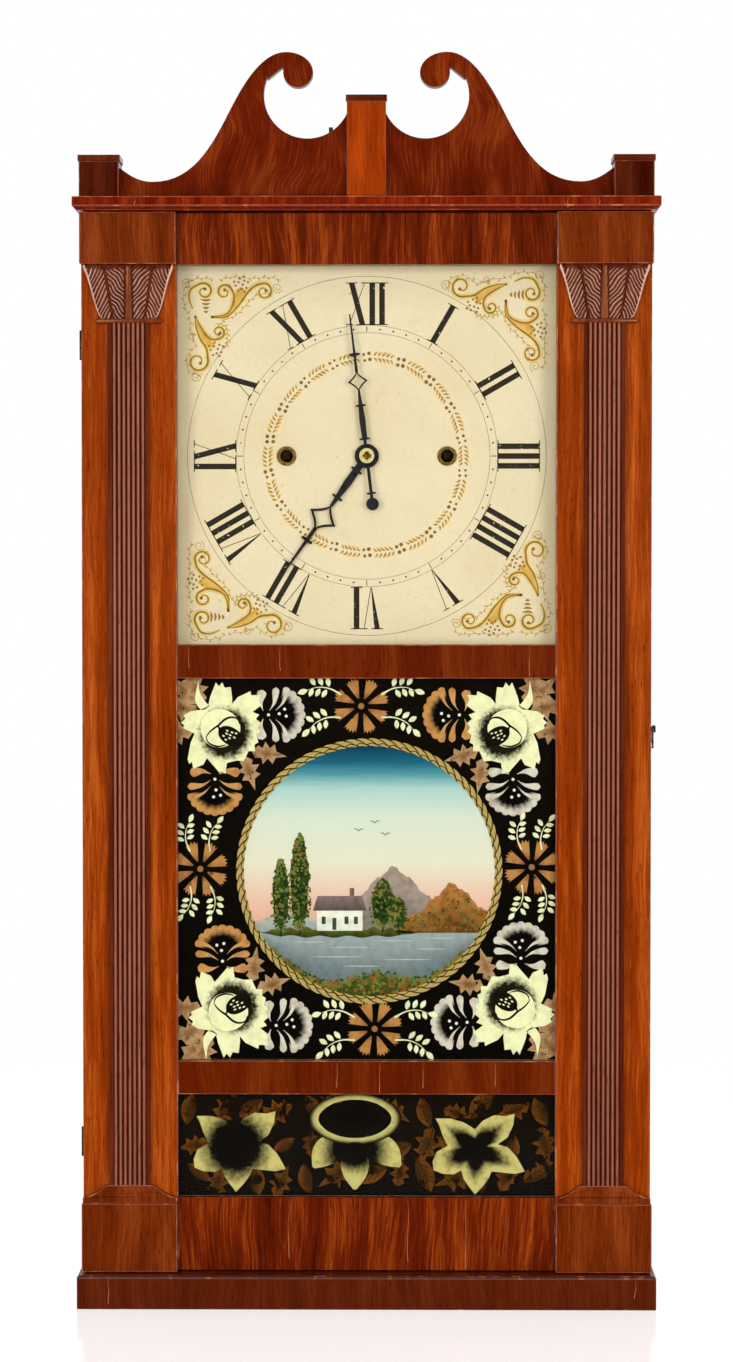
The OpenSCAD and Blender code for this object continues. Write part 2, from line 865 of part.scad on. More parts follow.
module dial_board() {
    fit = 0.3;
    color("wheat") difference() {
        box([fit - dial_half, y_dial, dial_low + fit], [dial_half - fit, y_dial_back, dial_top - fit]);
        rod([0, zc], y_dial - 1, y_dial_back + 1, dial_hole_r);
        for (at = [drum_at, strike_drum_at])
            rod(dial_point(at), y_dial - 1, y_dial_back + 1, winding_r + 1.2);
    }
}

module winding_grommets() {
    color(BRASS) for (at = [drum_at, strike_drum_at]) difference() {
        union() {
            rod(dial_point(at), y_dial - 1, y_dial, grommet_r);
            rod(dial_point(at), y_dial, y_dial_back, winding_r + 1);
        }
        rod(dial_point(at), y_dial - 2, y_dial_back + 1, winding_r);
    }
}

// A bar of a hand between two distances, tapering from one width to another
module hand_bar(from, to, w0, w1) {
    polygon([[-w0 / 2, from], [w0 / 2, from], [w1 / 2, to], [-w1 / 2, to]]);
}

// A short round-ended bar across a hand
module hand_cross(at, w, t) {
    translate([-w / 2, at - t / 2]) square([w, t]);
    for (s = [-1, 1]) translate([s * w / 2, at]) circle(r = t / 2);
}

// A diamond with hollow sides
module hollow_diamond(w, h) {
    difference() {
        polygon([[0, -h / 2], [w / 2, 0], [0, h / 2], [-w / 2, 0]]);
        for (x = [-1, 1]) for (z = [-1, 1])
            translate([x * w * 0.46, z * h * 0.46]) circle(r = norm([w, h]) * 0.2);
    }
}

// An open diamond between two distances
module open_diamond(from, to, w, line) {
    h = to - from;
    translate([0, (from + to) / 2]) difference() {
        hollow_diamond(w, h);
        hollow_diamond(w - 4 * line, h - 4 * line);
    }
}

module minute_outline() {
    n = minute_len;
    difference() {
        union() {
            circle(r = collet_r);
            hand_bar(-0.33 * n, 0.12 * n, 1.6, 2);
            hand_bar(0.12 * n, 0.26 * n, 3.6, 4.2);
            hand_bar(0.26 * n, 0.46 * n, 4.2, 1.6);
            open_diamond(0.45 * n, 0.60 * n, 0.14 * n, 0.9);
            hand_bar(0.595 * n, n, 2, 1.2);
        }
        circle(r = minute_arbor_r + hand_seat);
    }
    hand_cross(0.12 * n, 4.4, 1.4);
    hand_cross(0.355 * n, 4, 1.4);
    hand_cross(0.715 * n, 4, 1.4);
    hand_cross(-0.265 * n, 3.6, 1.4);
    translate([0, -0.345 * n]) circle(r = 4.3);
}

module minute_hand() {
    color(IRON) slab(minute_y, hand_t) translate([0, zc]) rotate(-minute_at) minute_outline();
}

module hour_outline() {
    n = hour_len;
    difference() {
        union() {
            circle(r = 9);
            hand_bar(0, 0.23 * n, 4.4, 5.2);
            hand_bar(0.23 * n, 0.42 * n, 5.2, 2);
            open_diamond(0.41 * n, 0.63 * n, 0.2 * n, 1.1);
            hand_bar(0.62 * n, n, 2.4, 1.2);
        }
        circle(r = hour_pipe_r + hand_seat);
    }
    hand_cross(0.12 * n, 5.2, 1.6);
    hand_cross(0.345 * n, 5, 1.6);
    hand_cross(0.70 * n, 5, 2);
}

module hour_hand() {
    color(IRON) slab(hour_y, hand_t) translate([0, zc]) rotate(-hour_at) hour_outline();
}

module minute_arbor() {
    m = mesh_module([0, 0], second_at, motion_n, motion_n);
    mid = [0, zc];
    front = minute_y - collet_t;
    color(BRASS) {
        rod(mid, front, minute_y, collet_r);
        rod(mid, minute_y, minute_wheel_y + motion_t, minute_arbor_r);
        rod(mid, minute_wheel_y + motion_t, y_works - 0.5, arbor_r);
        wheel([0, 0], second_at, motion_n, m, minute_wheel_y, motion_t);
        box([-square_w / 2, front - 1.8, zc - square_w / 2], [square_w / 2, front, zc + square_w / 2]);
    }
}

module hour_wheel() {
    m = mesh_module([0, 0], second_at, hour_n, leaf_n);
    mid = [0, zc];
    color(WORKS_WOOD) difference() {
        union() {
            wheel([0, 0], second_at, hour_n, m, hour_wheel_y, motion_t);
            rod(mid, hour_y, hour_wheel_y + motion_t, hour_pipe_r);
        }
        rod(mid, hour_y - 1, hour_wheel_y + motion_t + 1, hour_bore_r);
    }
}

module motion_wheel() {
    slow = mesh_module([0, 0], second_at, hour_n, leaf_n);
    quick = mesh_module([0, 0], second_at, motion_n, motion_n);
    color(WORKS_WOOD) difference() {
        union() {
            gap_wheel(second_at, [0, 0], motion_n, quick, minute_wheel_y, motion_t);
            pinion(second_at, [0, 0], leaf_n, slow, hour_wheel_y - pinion_over,
                minute_wheel_y - hour_wheel_y + 2 * pinion_over);
        }
        rod(dial_point(second_at), hour_wheel_y - 2, y_plate, motion_bore_r);
    }
}

// Movement frame

// Holes through a plate for the pivots of the wheels
module pivot_holes(y0) {
    for (at = [second_at, third_at, escape_at, strike_second_at, fly_at, hammer_at])
        rod(dial_point(at), y0 - 1, y0 + plate_t + 1, arbor_r + pivot_gap);
    for (at = [drum_at, strike_drum_at])
        rod(dial_point(at), y0 - 1, y0 + plate_t + 1, drum_arbor_r + pivot_gap);
}

module plate(y0) {
    box([-plate_w / 2, y0, zc - plate_down], [plate_w / 2, y0 + plate_t, zc + plate_up]);
}

module movement_plates() {
    color(WORKS_WOOD) {
        difference() {
            plate(y_plate);
            pivot_holes(y_plate);
            rod([0, zc], y_plate - 1, y_works + 1, arbor_r + pivot_gap);
        }
        difference() {
            plate(y_works_back);
            pivot_holes(y_works_back);
        }
    }
}

module plate_pillars() {
    x = plate_w / 2 - pillar_inset;
    color(WORKS_WOOD) both() for (z = [zc - plate_down + pillar_inset, zc + plate_up - pillar_inset])
        rod([x, z], y_works, y_works_back, pillar_r);
}

module movement_rails() {
    x = plate_w / 2 - pillar_inset;
    color(WORKS_WOOD) both() box([x - rail_w / 2, y_plate_back, zc - plate_down - rail_over],
        [x + rail_w / 2, y_board, zc + plate_up + rail_over]);
}

// Time train

// A drum with its ratchet and its winding arbor
module drum(at) {
    p = dial_point(at);
    s = winding_square / 2;
    square_end = y_plate - 3;
    rod(p, square_end, y_plate_back, drum_arbor_r);
    rod(p, drum_y, drum_end, drum_r);
    rod(p, drum_end - flange_t, drum_end, flange_r);
    slab(ratchet_y, ratchet_t) translate(p) pointed(ratchet_n, ratchet_r, ratchet_r - 2, 0.15);
    box([p[0] - s, y_dial + 2, p[1] - s], [p[0] + s, square_end, p[1] + s]);
}

// A great wheel that turns on a drum's arbor, with the click that holds the ratchet
module great_wheel(at, partner) {
    m = mesh_module(at, partner, great_n, second_pinion_n);
    click_in = ratchet_r + 0.5;
    difference() {
        union() {
            wheel(at, partner, great_n, m, great_y, great_t);
            slab(great_y + great_t, ratchet_t) translate(dial_point(at))
                polygon([[-2, click_in], [6, click_in + 1.5], [8, click_in + 4], [5, click_in + 5]]);
        }
        rod(dial_point(at), great_y - 1, great_y + great_t + ratchet_t + 1, drum_arbor_r + pivot_gap);
    }
}

// An arbor with a pinion that is driven from one place and a wheel that drives another
module wheel_arbor(at, driver, driver_n, pinion_n, pinion_y, pinion_t, driven, wheel_n, wheel_y) {
    m = mesh_module(driver, at, driver_n, pinion_n);
    rod(dial_point(at), y_plate + 1, y_plate_back - 1, arbor_r);
    pinion(at, driver, pinion_n, m, pinion_y - pinion_over, pinion_t + 2 * pinion_over);
    wheel(at, driven, wheel_n, mesh_module(at, driven, wheel_n, leaf_n), wheel_y, wheel_t);
}

module time_drum() {
    color(WORKS_WOOD) drum(drum_at);
}

module time_great_wheel() {
    color(WORKS_WOOD) great_wheel(drum_at, second_at);
}

module second_wheel() {
    color(WORKS_WOOD) {
        wheel_arbor(second_at, drum_at, great_n, second_pinion_n, great_y, great_t, third_at,
            second_n, second_y);
        rod(dial_point(second_at), hour_wheel_y - 1, y_plate + 1, motion_bore_r - pivot_gap);
    }
}

module third_wheel() {
    color(WORKS_WOOD) wheel_arbor(third_at, second_at, second_n, leaf_n, second_y, wheel_t,
        escape_at, third_n, third_y);
}

module escape_wheel() {
    m = mesh_module(third_at, escape_at, third_n, leaf_n);
    color(BRASS) {
        rod(dial_point(escape_at), escape_y, y_plate_back - 1, arbor_r);
        pinion(escape_at, third_at, leaf_n, m, third_y - pinion_over, wheel_t + 2 * pinion_over);
        slab(escape_y, escape_t) translate(dial_point(escape_at))
            pointed(escape_n, escape_r, escape_r - 3, 0.2);
    }
}

// Points on a ring round the escape wheel, between two angles from straight up
function rim(r, from, to, n) = [for (i = [0 : n]) let (a = 90 + from + (to - from) * i / n)
    r * [cos(a), sin(a)]];

module verge() {
    inner = escape_r + pallet_gap;
    outer = inner + verge_t;
    v = dial_point(verge_at);
    x = rod_r + fork_gap;
    color(IRON) {
        difference() {
            union() {
                rod(v, crutch_y, escape_y + escape_t, verge_hub_r);
                slab(escape_y, escape_t) translate(dial_point(escape_at))
                    polygon(concat(rim(inner, -verge_reach, verge_reach, 16),
                        rim(outer, verge_reach, -verge_reach, 16)));
                slab(escape_y, escape_t) translate(dial_point(escape_at))
                    translate([-1.5, inner + 0.5]) square([3, verge_at[1] - escape_at[1] - inner - 0.5]);
                slab(crutch_y, crutch_t) translate([v[0], v[1] - crutch_drop])
                    translate([-1.2, 0]) square([2.4, crutch_drop]);
            }
            rod(v, crutch_y - 1, y_plate, hang_pin_r + pivot_gap);
        }
        for (s = [-1, 1])
            box([v[0] + s * x + min(s * fork_t, 0), rod_y - rod_r - 1, v[1] - crutch_drop],
                [v[0] + s * x + max(s * fork_t, 0), crutch_y, v[1] - crutch_drop + fork_h]);
        box([v[0] - x - fork_t, crutch_y, v[1] - crutch_drop],
            [v[0] + x + fork_t, crutch_y + crutch_t, v[1] - crutch_drop + fork_h]);
    }
}

// Pins on the front plate that carry the pendulum and the verge
module suspension_cock() {
    s = dial_point(suspension_at);
    v = dial_point(verge_at);
    front = rod_y - rod_r - 0.4;
    color(BRASS) {
        rod(s, front, y_plate, hang_pin_r);
        rod(s, front - 1, front, pin_head_r);
        rod(s, y_plate - 3, y_plate, pin_head_r + 2);
        rod(v, crutch_y - 0.2, y_plate, hang_pin_r);
        rod(v, crutch_y - 0.8, crutch_y - 0.2, pin_head_r);
    }
}

module pendulum_rod() {
    s = dial_point(suspension_at);
    low = z_bob - bob_r;
    color(IRON) {
        difference() {
            union() {
                rod(s, rod_y - rod_r, rod_y + rod_r, rod_eye_r);
                translate([s[0], rod_y, low - nut_h - 6]) cylinder(h = s[1] - low + nut_h + 6, r = rod_r);
            }
            rod(s, rod_y - 2 * rod_r, rod_y + 2 * rod_r, hang_pin_r + pivot_gap);
        }
        translate([s[0], rod_y, low - nut_h]) cylinder(h = nut_h, r = 3.5);
    }
}

module pendulum_bob() {
    half = [for (i = [0 : 8]) let (x = bob_r * i / 8) [x, bob_t / 2 * (1 - pow(x / bob_r, 2)) + 0.4]];
    color(BRASS) difference() {
        translate([-pendulum_x, rod_y, z_bob]) rotate([90, 0, 0]) rotate_extrude()
            polygon(concat(half, [for (i = [8 : -1 : 0]) [half[i][0], -half[i][1]]]));
        translate([-pendulum_x, rod_y, z_bob - bob_r - 1]) cylinder(h = 2 * bob_r + 2, r = rod_r + pin_gap);
    }
}

// Strike train

module strike_drum() {
    color(WORKS_WOOD) drum(strike_drum_at);
}

module strike_great_wheel() {
    color(WORKS_WOOD) {
        great_wheel(strike_drum_at, strike_second_at);
        for (i = [0 : pin_n - 1]) {
            a = 360 * (i + 0.5) / pin_n;
            at = strike_drum_at + pin_ring_r * [cos(a), sin(a)];
            rod(dial_point(at), great_y + great_t - 1, great_y + great_t + ratchet_t, lift_pin_r);
        }
    }
}

module strike_second_wheel() {
    color(WORKS_WOOD) wheel_arbor(strike_second_at, strike_drum_at, great_n, second_pinion_n, great_y,
        great_t, fly_at, second_n, strike_second_y);
}

module fly() {
    m = mesh_module(strike_second_at, fly_at, second_n, leaf_n);
    p = dial_point(fly_at);
    color(WORKS_WOOD) {
        rod(p, y_plate + 1, y_plate_back - 1, arbor_r);
        pinion(fly_at, strike_second_at, leaf_n, m, strike_second_y - pinion_over,
            wheel_t + 2 * pinion_over);
        slab(great_y, strike_second_y - great_y - 4) translate(p)
            square([fly_t, 2 * fly_half], center = true);
    }
}

// A straight round wire in a plane of constant Y
module wire(a, b, y, r) {
    translate([a[0], y, a[1]]) rotate([0, 90 - heading(a, b), 0]) cylinder(h = norm(b - a), r = r);
}

module hammer() {
    p = dial_point(hammer_at);
    head = dial_point([hammer_at[0], bell_at[1]]);
    hub = dial_point(strike_drum_at);
    tail = hub + (pin_ring_r + lift_pin_r + tail_r + 0.8) * (p - hub) / norm(p - hub);
    color(IRON) {
        rod(p, y_plate + 1, y_plate_back - 1, arbor_r);
        wire(p, head, hammer_y, 1.2);
        wire(p, tail, tail_y + tail_r, tail_r);
        translate([head[0] - hammer_head_w / 2, hammer_y, head[1]]) rotate([0, 90, 0])
            cylinder(h = hammer_head_w, r = hammer_head_r);
    }
}

module bell() {
    b = dial_point(bell_at);
    rim_y = bell_y + bell_h;
    outer = curve([[0, bell_h], [0.7 * bell_r, bell_h], [bell_r, 0.75 * bell_h], [bell_r, 0]]);
    inner_r = bell_r - bell_wall;
    inner_h = bell_h - bell_wall;
    inner = curve([[inner_r, 0], [inner_r, 0.75 * inner_h], [0.7 * inner_r, inner_h], [0, inner_h]]);
    color(IRON) {
        translate([b[0], rim_y, b[1]]) rotate([90, 0, 0]) rotate_extrude() polygon(concat(outer, inner));
        rod(b, bell_y + bell_wall, y_board, bell_stud_r);
        rod(b, bell_y - 3, bell_y, bell_stud_r + 2);
    }
}

// Weights, pulleys and cords

module weight() {
    color(IRON) {
        translate([weight_x, drum_mid, z_weight]) cylinder(h = weight_h, r = weight_r);
        translate([weight_x, drum_mid, z_weight + weight_h])
            cylinder(h = weight_cap_h, r1 = weight_r, r2 = loop_r);
        translate([weight_x, drum_mid, z_loop]) rotate([90, 0, 0]) rotate_extrude()
            translate([loop_r, 0]) circle(r = loop_wire_r);
    }
}

module time_weight() {
    weight();
}

module strike_weight() {
    mirror([1, 0, 0]) weight();
}

module pulley() {
    rim_r = pulley_seat_r + pulley_rim;
    half = pulley_t / 2;
    color(WORKS_WOOD) translate([pulley_x, drum_mid, z_pulley]) rotate([90, 0, 0]) rotate_extrude()
        polygon([[pulley_axle_r + pivot_gap, -half], [rim_r, -half], [rim_r, 0.6 - half],
            [pulley_seat_r, -cord_r], [pulley_seat_r, cord_r], [rim_r, half - 0.6], [rim_r, half],
            [pulley_axle_r + pivot_gap, half]]);
}

module time_pulley() {
    pulley();
}

module strike_pulley() {
    mirror([1, 0, 0]) pulley();
}

module pulley_brackets() {
    y = pulley_t / 2 + pivot_gap;
    color(IRON) both() {
        for (s = [-1, 1])
            box([pulley_x - cheek_w / 2, drum_mid + s * y + min(s * cheek_t, 0), z_pulley - cheek_w / 2],
                [pulley_x + cheek_w / 2, drum_mid + s * y + max(s * cheek_t, 0), z_cornice]);
        rod([pulley_x, z_pulley], drum_mid - y, drum_mid + y, pulley_axle_r);
    }
}

// Route of a cord in X and Z, off the drum and over the pulley
function cord_route() = let (a = dial_point(drum_at), b = [pulley_x, z_pulley],
        lift = heading(a, b) + acos((drum_wrap_r - pulley_wrap_r) / norm(b - a)))
    concat([a + drum_wrap_r * [cos(lift), sin(lift)]],
        [for (i = [0 : 8]) let (t = lift * (1 - i / 8)) b + pulley_wrap_r * [cos(t), sin(t)]]);

// A tube along a route in X and Z
module tube(route, y, r) {
    sides = 8;
    n = len(route);
    way = [for (i = [0 : n - 1]) let (d = route[min(i + 1, n - 1)] - route[max(i - 1, 0)]) d / norm(d)];
    points = [for (i = [0 : n - 1]) for (k = [0 : sides - 1]) let (a = 360 * k / sides)
        [route[i][0] - r * cos(a) * way[i][1], y + r * sin(a), route[i][1] + r * cos(a) * way[i][0]]];
    walls = [for (i = [0 : n - 2]) for (k = [0 : sides - 1]) let (j = (k + 1) % sides, p = i * sides)
        [p + k, p + j, p + sides + j, p + sides + k]];
    ends = [[for (k = [sides - 1 : -1 : 0]) k], [for (k = [0 : sides - 1]) (n - 1) * sides + k]];
    polyhedron(points, concat(walls, ends));
}

module cord_runs() {
    color("tan") both() tube(cord_route(), drum_mid, cord_r);
}

// The stretch of cord that a weight hangs on
module hanging_cord() {
    low = z_loop + loop_r + loop_wire_r + cord_gap;
    color("tan") translate([weight_x, drum_mid, low]) cylinder(h = z_pulley - low, r = cord_r);
}

module time_cord() {
    hanging_cord();
}

module strike_cord() {
    mirror([1, 0, 0]) hanging_cord();
}

base_board();
left_side();
right_side();
back_board();
cornice_board();
crest_board();
plinths();
plinth_caps();
crest_stay();
movement_rails();
movement_plates();
plate_pillars();
suspension_cock();
bell();
dial_board();
winding_grommets();
pulley_brackets();
hinge_case_leaves();
catch_pin();
cord_runs();
time_cord();
strike_cord();
door_left_stile();
door_right_stile();
door_top_rail();
door_cross_rails();
door_bottom_rail();
corner_blocks();
pilasters();
capitals();
pilaster_feet();
dial_glass();
tablet_glass();
lower_glass();
glazing_strips();
hinge_door_leaves();
hook_screw();
door_hook();
minute_arbor();
minute_hand();
hour_wheel();
hour_hand();
motion_wheel();
time_drum();
time_great_wheel();
second_wheel();
third_wheel();
escape_wheel();
verge();
pendulum_rod();
pendulum_bob();
strike_drum();
strike_great_wheel();
strike_second_wheel();
fly();
hammer();
time_weight();
strike_weight();
time_pulley();
strike_pulley();
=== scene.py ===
"""Pillar and scroll clock: the finish of every surface, the painted dial and glasses, carving and cords.

Sizes are in millimetres and become metres where a mesh is made. X runs to the right, Y to the back and Z up.
"""
import logging
import random
from dataclasses import dataclass, field
from enum import Enum
from functools import partial
from math import acos, atan2, cos, degrees, dist, exp, pi, radians, sin, sqrt
from typing import Callable, Mapping, Sequence

import bpy
from mathutils import Matrix, Vector


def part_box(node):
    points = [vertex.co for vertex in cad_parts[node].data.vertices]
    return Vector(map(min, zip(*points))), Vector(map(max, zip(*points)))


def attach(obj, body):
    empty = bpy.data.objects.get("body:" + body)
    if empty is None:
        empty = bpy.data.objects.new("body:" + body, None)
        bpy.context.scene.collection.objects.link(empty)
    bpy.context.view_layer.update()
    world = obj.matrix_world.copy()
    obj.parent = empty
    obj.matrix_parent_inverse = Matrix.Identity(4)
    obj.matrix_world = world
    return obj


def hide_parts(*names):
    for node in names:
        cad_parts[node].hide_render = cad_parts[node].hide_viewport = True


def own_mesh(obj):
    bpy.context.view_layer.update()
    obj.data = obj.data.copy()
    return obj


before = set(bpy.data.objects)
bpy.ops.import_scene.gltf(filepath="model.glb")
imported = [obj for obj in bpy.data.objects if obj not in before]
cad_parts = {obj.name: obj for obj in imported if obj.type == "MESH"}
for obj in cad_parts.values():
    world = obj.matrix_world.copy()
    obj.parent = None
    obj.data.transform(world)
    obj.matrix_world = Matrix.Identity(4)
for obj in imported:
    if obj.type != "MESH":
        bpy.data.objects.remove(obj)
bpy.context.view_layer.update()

LOG = logging.getLogger("clock")
MM = 0.001
TURN = 2 * pi
# In millimetres: a pane's lap behind the door's frame, a film of paint, and the step between lapping marks
GLASS_LAP = 4.8
FILM_T = 0.03
MARK_STEP = 0.003
Point = tuple[float, float]
Material = bpy.types.Material
Node = bpy.types.Node
Piece = bpy.types.Object
Socket = bpy.types.NodeSocket
Values = dict[str | int, object]
AddNode = Callable[..., Node]
Places = Mapping[str, Socket]


class Body(Enum):
    """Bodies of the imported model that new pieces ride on."""

    CASE = "case"
    DOOR = "door"
    MINUTE = "minute"
    HOUR = "hour"


class Taper(Enum):
    """How the width of a brush stroke changes from its start, 0, to its end, 1."""

    EVEN = "even"
    LEAF = "leaf"
    DROP = "drop"
    TAIL = "tail"
    SWELL = "swell"

    def share(self, u: float) -> float:
        """Gives the width at a place along the stroke.

        Args:
            u: the place, from 0 to 1.

        Returns:
            The share of the full width.
        """
        if self is Taper.LEAF:
            return sin(pi * min(max(u, 0.02), 0.98)) ** 0.75
        if self is Taper.DROP:
            return max(0.06, 1.12 * u**1.2 * sqrt(max(0.0, 1 - u**7)))
        if self is Taper.TAIL:
            return 1 - 0.8 * u
        if self is Taper.SWELL:
            return 0.4 + 0.6 * sin(pi * u)
        return 1.0


class Figure(Enum):
    """How the figure of a veneer runs: its sideways sway in millimetres and its length over its width."""

    STRAIGHT = (4.0, 22.0)
    ROEY = (9.0, 9.0)
    FLAME = (34.0, 2.6)


# Small tools for nodes, meshes and painted marks


def linear(code: str) -> tuple[float, float, float, float]:
    """Turns an sRGB hex colour to linear light.

    Args:
        code: the colour as "#RRGGBB".

    Returns:
        Red, green, blue and alpha in linear light.
    """
    shares = [int(code[i:i + 2], 16) / 255 for i in (1, 3, 5)]
    red, green, blue = [s / 12.92 if s <= 0.04045 else ((s + 0.055) / 1.055) ** 2.4 for s in shares]
    return red, green, blue, 1.0


def per_mm(size: float) -> float:
    """Gives the texture scale at which a pattern repeats about every so many millimetres."""
    return 1 / (size * MM)


def box_mm(node: str) -> tuple[Vector, Vector]:
    """Gives the lowest and the highest corner of a CAD node in millimetres."""
    low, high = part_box(node)
    return low / MM, high / MM


def dial_centre() -> float:
    """Gives the height of the dial's centre, which is the arbor's."""
    low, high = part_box("minute_arbor")
    return (low.z + high.z) / 2 / MM


def add_node(tree: bpy.types.NodeTree, kind: str, values: Values | None = None) -> Node:
    """Adds one node with its settings and links.

    Args:
        tree: the node tree that it goes into.
        kind: Blender's name for the kind of node.
        values: what each property or input gets, by its name or by the input's number. A socket is linked, a
            node is linked by its first open output, and a hex colour is turned to linear light. The word ramp
            takes pairs of place and hex colour.

    Returns:
        The new node.
    """
    node = tree.nodes.new(kind)
    for key, value in (values or {}).items():
        if key == "ramp":
            stops = node.color_ramp.elements
            while len(stops) < len(value):
                stops.new(1.0)
            for stop, (place, code) in zip(stops, value):
                stop.position = place
                stop.color = linear(code)
        elif isinstance(key, str) and key not in node.inputs:
            setattr(node, key, value)
        elif isinstance(value, Node):
            tree.links.new(next(socket for socket in value.outputs if socket.enabled), node.inputs[key])
        elif isinstance(value, Socket):
            tree.links.new(value, node.inputs[key])
        else:
            node.inputs[key].default_value = linear(value) if isinstance(value, str) else value
    return node


def new_material(name: str) -> tuple[Material, AddNode]:
    """Starts a material that has no nodes.

    Args:
        name: the material's name.

    Returns:
        The material and the function that adds a node to it.
    """
    material = bpy.data.materials.new(name)
    material.use_nodes = True
    material.node_tree.nodes.clear()
    return material, partial(add_node, material.node_tree)


def dress(node: str, *materials: Material) -> None:
    """Gives a CAD node its finishes.

    Args:
        node: the node's name.
        materials: one for each of its material slots, in order.
    """
    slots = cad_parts[node].data.materials
    slots.clear()
    for material in materials:
        slots.append(material)
    LOG.info("%s is dressed in %s", node, materials[0].name)


def deselect() -> None:
    """Leaves nothing selected."""
    bpy.ops.object.select_all(action="DESELECT")


def make_active(piece: Piece) -> None:
    """Selects one piece alone and makes it the active one.

    Args:
        piece: the object.
    """
    deselect()
    piece.select_set(True)
    bpy.context.view_layer.objects.active = piece


def start_piece(primitive: Callable, **sizes: object) -> Piece:
    """Adds a primitive with nothing else selected.

    Args:
        primitive: the operator that adds it.
        sizes: the operator's own settings.

    Returns:
        The new object.
    """
    deselect()
    primitive(**sizes)
    return bpy.context.active_object


def start_grid(along: int, across: int) -> Piece:
    """Adds a flat grid of one metre, with so many faces along X and Y."""
    return start_piece(bpy.ops.mesh.primitive_grid_add, x_subdivisions=along, y_subdivisions=across, size=1)


def link_up(name: str, data: bpy.types.ID) -> Piece:
    """Puts new object data into the scene as an object.

    Args:
        name: the object's name.
        data: its curve, lamp or camera.

    Returns:
        The object.
    """
    thing = bpy.data.objects.new(name, data)
    bpy.context.scene.collection.objects.link(thing)
    return thing


def edit(piece: Piece, *steps: Callable) -> None:
    """Runs steps in edit mode with the whole mesh selected at the start.

    Args:
        piece: the object to edit.
        steps: what is done there, in order.
    """
    make_active(piece)
    bpy.ops.object.mode_set(mode="EDIT")
    bpy.ops.mesh.select_all(action="SELECT")
    for step in steps:
        step()
    bpy.ops.object.mode_set(mode="OBJECT")


def apply_modifier(piece: Piece, kind: str, **settings: float) -> None:
    """Adds a modifier to a piece and applies it.

    Args:
        piece: the object.
        kind: the modifier's type.
        settings: its properties.
    """
    modifier = piece.modifiers.new(kind.lower(), kind)
    for key, value in settings.items():
        setattr(modifier, key, value)
    make_active(piece)
    bpy.ops.object.modifier_apply(modifier=modifier.name)


def join(pieces: Sequence[Piece]) -> Piece:
    """Joins objects into one.

    Args:
        pieces: the objects.

    Returns:
        The first of them, which then holds all.
    """
    make_active(pieces[0])
    for piece in pieces[1:]:
        piece.select_set(True)
    if len(pieces) > 1:
        bpy.ops.object.join()
    return pieces[0]


def add_piece(piece: Piece, name: str, body: Body, material: Material,
              replaces: Sequence[str] = ()) -> None:
    """Names, dresses and seats a finished piece.

    Args:
        piece: the object, with its place in its mesh.
        name: the piece's name.
        body: the body that it moves with.
        material: its finish.
        replaces: the CAD nodes that it stands for.
    """
    piece.name = name
    piece.data.name = name
    piece.data.materials.clear()
    piece.data.materials.append(material)
    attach(piece, body.value)
    if replaces:
        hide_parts(*replaces)
    LOG.info("%s rides on %s with %d faces", name, body.value, len(piece.data.polygons))


def smooth(points: Sequence[Point], steps: int = 8) -> list[Point]:
    """Runs a smooth curve through points.

    Args:
        points: the points, as X and Z.
        steps: stretches between two points.

    Returns:
        Points along the curve.
    """
    row = [points[0], *points, points[-1]]
    path = []
    for four in zip(row, row[1:], row[2:], row[3:]):
        for t in (i / steps for i in range(steps)):
            path.append(tuple(0.5 * (2 * b + (c - a) * t + (2 * a - 5 * b + 4 * c - d) * t**2
                                     + (3 * b - a - 3 * c + d) * t**3) for a, b, c, d in zip(*four)))
    return path + [points[-1]]


def curl(start: Point, eye: Point, turns: float, close: float = 0.3, steps: int = 28) -> list[Point]:
    """Winds a spiral from a point in towards its eye.

    Args:
        start: where the spiral begins.
        eye: its centre.
        turns: how often it goes round, below zero for clockwise.
        close: the last radius as a share of the first.
        steps: stretches along it.

    Returns:
        Points along the spiral, after its start.
    """
    radius = dist(start, eye)
    angle = atan2(start[1] - eye[1], start[0] - eye[0])
    path = []
    for t in ((i + 1) / steps for i in range(steps)):
        reach = radius * (1 - (1 - close) * t)
        path.append((eye[0] + reach * cos(angle + TURN * turns * t),
                     eye[1] + reach * sin(angle + TURN * turns * t)))
    return path


def even_points(path: Sequence[Point], count: int) -> list[Point]:
    """Spaces points evenly along a path.

    Args:
        path: the path's own points.
        count: stretches to cut it into.

    Returns:
        One more point than there are stretches.
    """
    run = [0.0]
    for a, b in zip(path, path[1:]):
        run.append(run[-1] + dist(a, b))
    spaced, k = [], 0
    for i in range(count + 1):
        want = run[-1] * i / count
        while k < len(run) - 2 and run[k + 1] < want:
            k += 1
        t = (want - run[k]) / max(run[k + 1] - run[k], 1e-9)
        spaced.append(tuple(a + (b - a) * t for a, b in zip(path[k], path[k + 1])))
    return spaced


def painted_grid(along: int, across: int, place: Callable[[float, float], Point]) -> Piece:
    """Shapes a grid into one painted mark that faces the front.

    Args:
        along: faces along U.
        across: faces along V.
        place: gives X and Z for a U and V from 0 to 1.

    Returns:
        The mark, at depth zero.
    """
    mark = start_grid(along, across)
    for vertex in mark.data.vertices:
        x, z = place(vertex.co.x + 0.5, vertex.co.y + 0.5)
        vertex.co = (x * MM, 0, z * MM)
    mark.data.update()
    if sum(face.normal.y * face.area for face in mark.data.polygons) > 0:
        mark.data.flip_normals()
    return mark


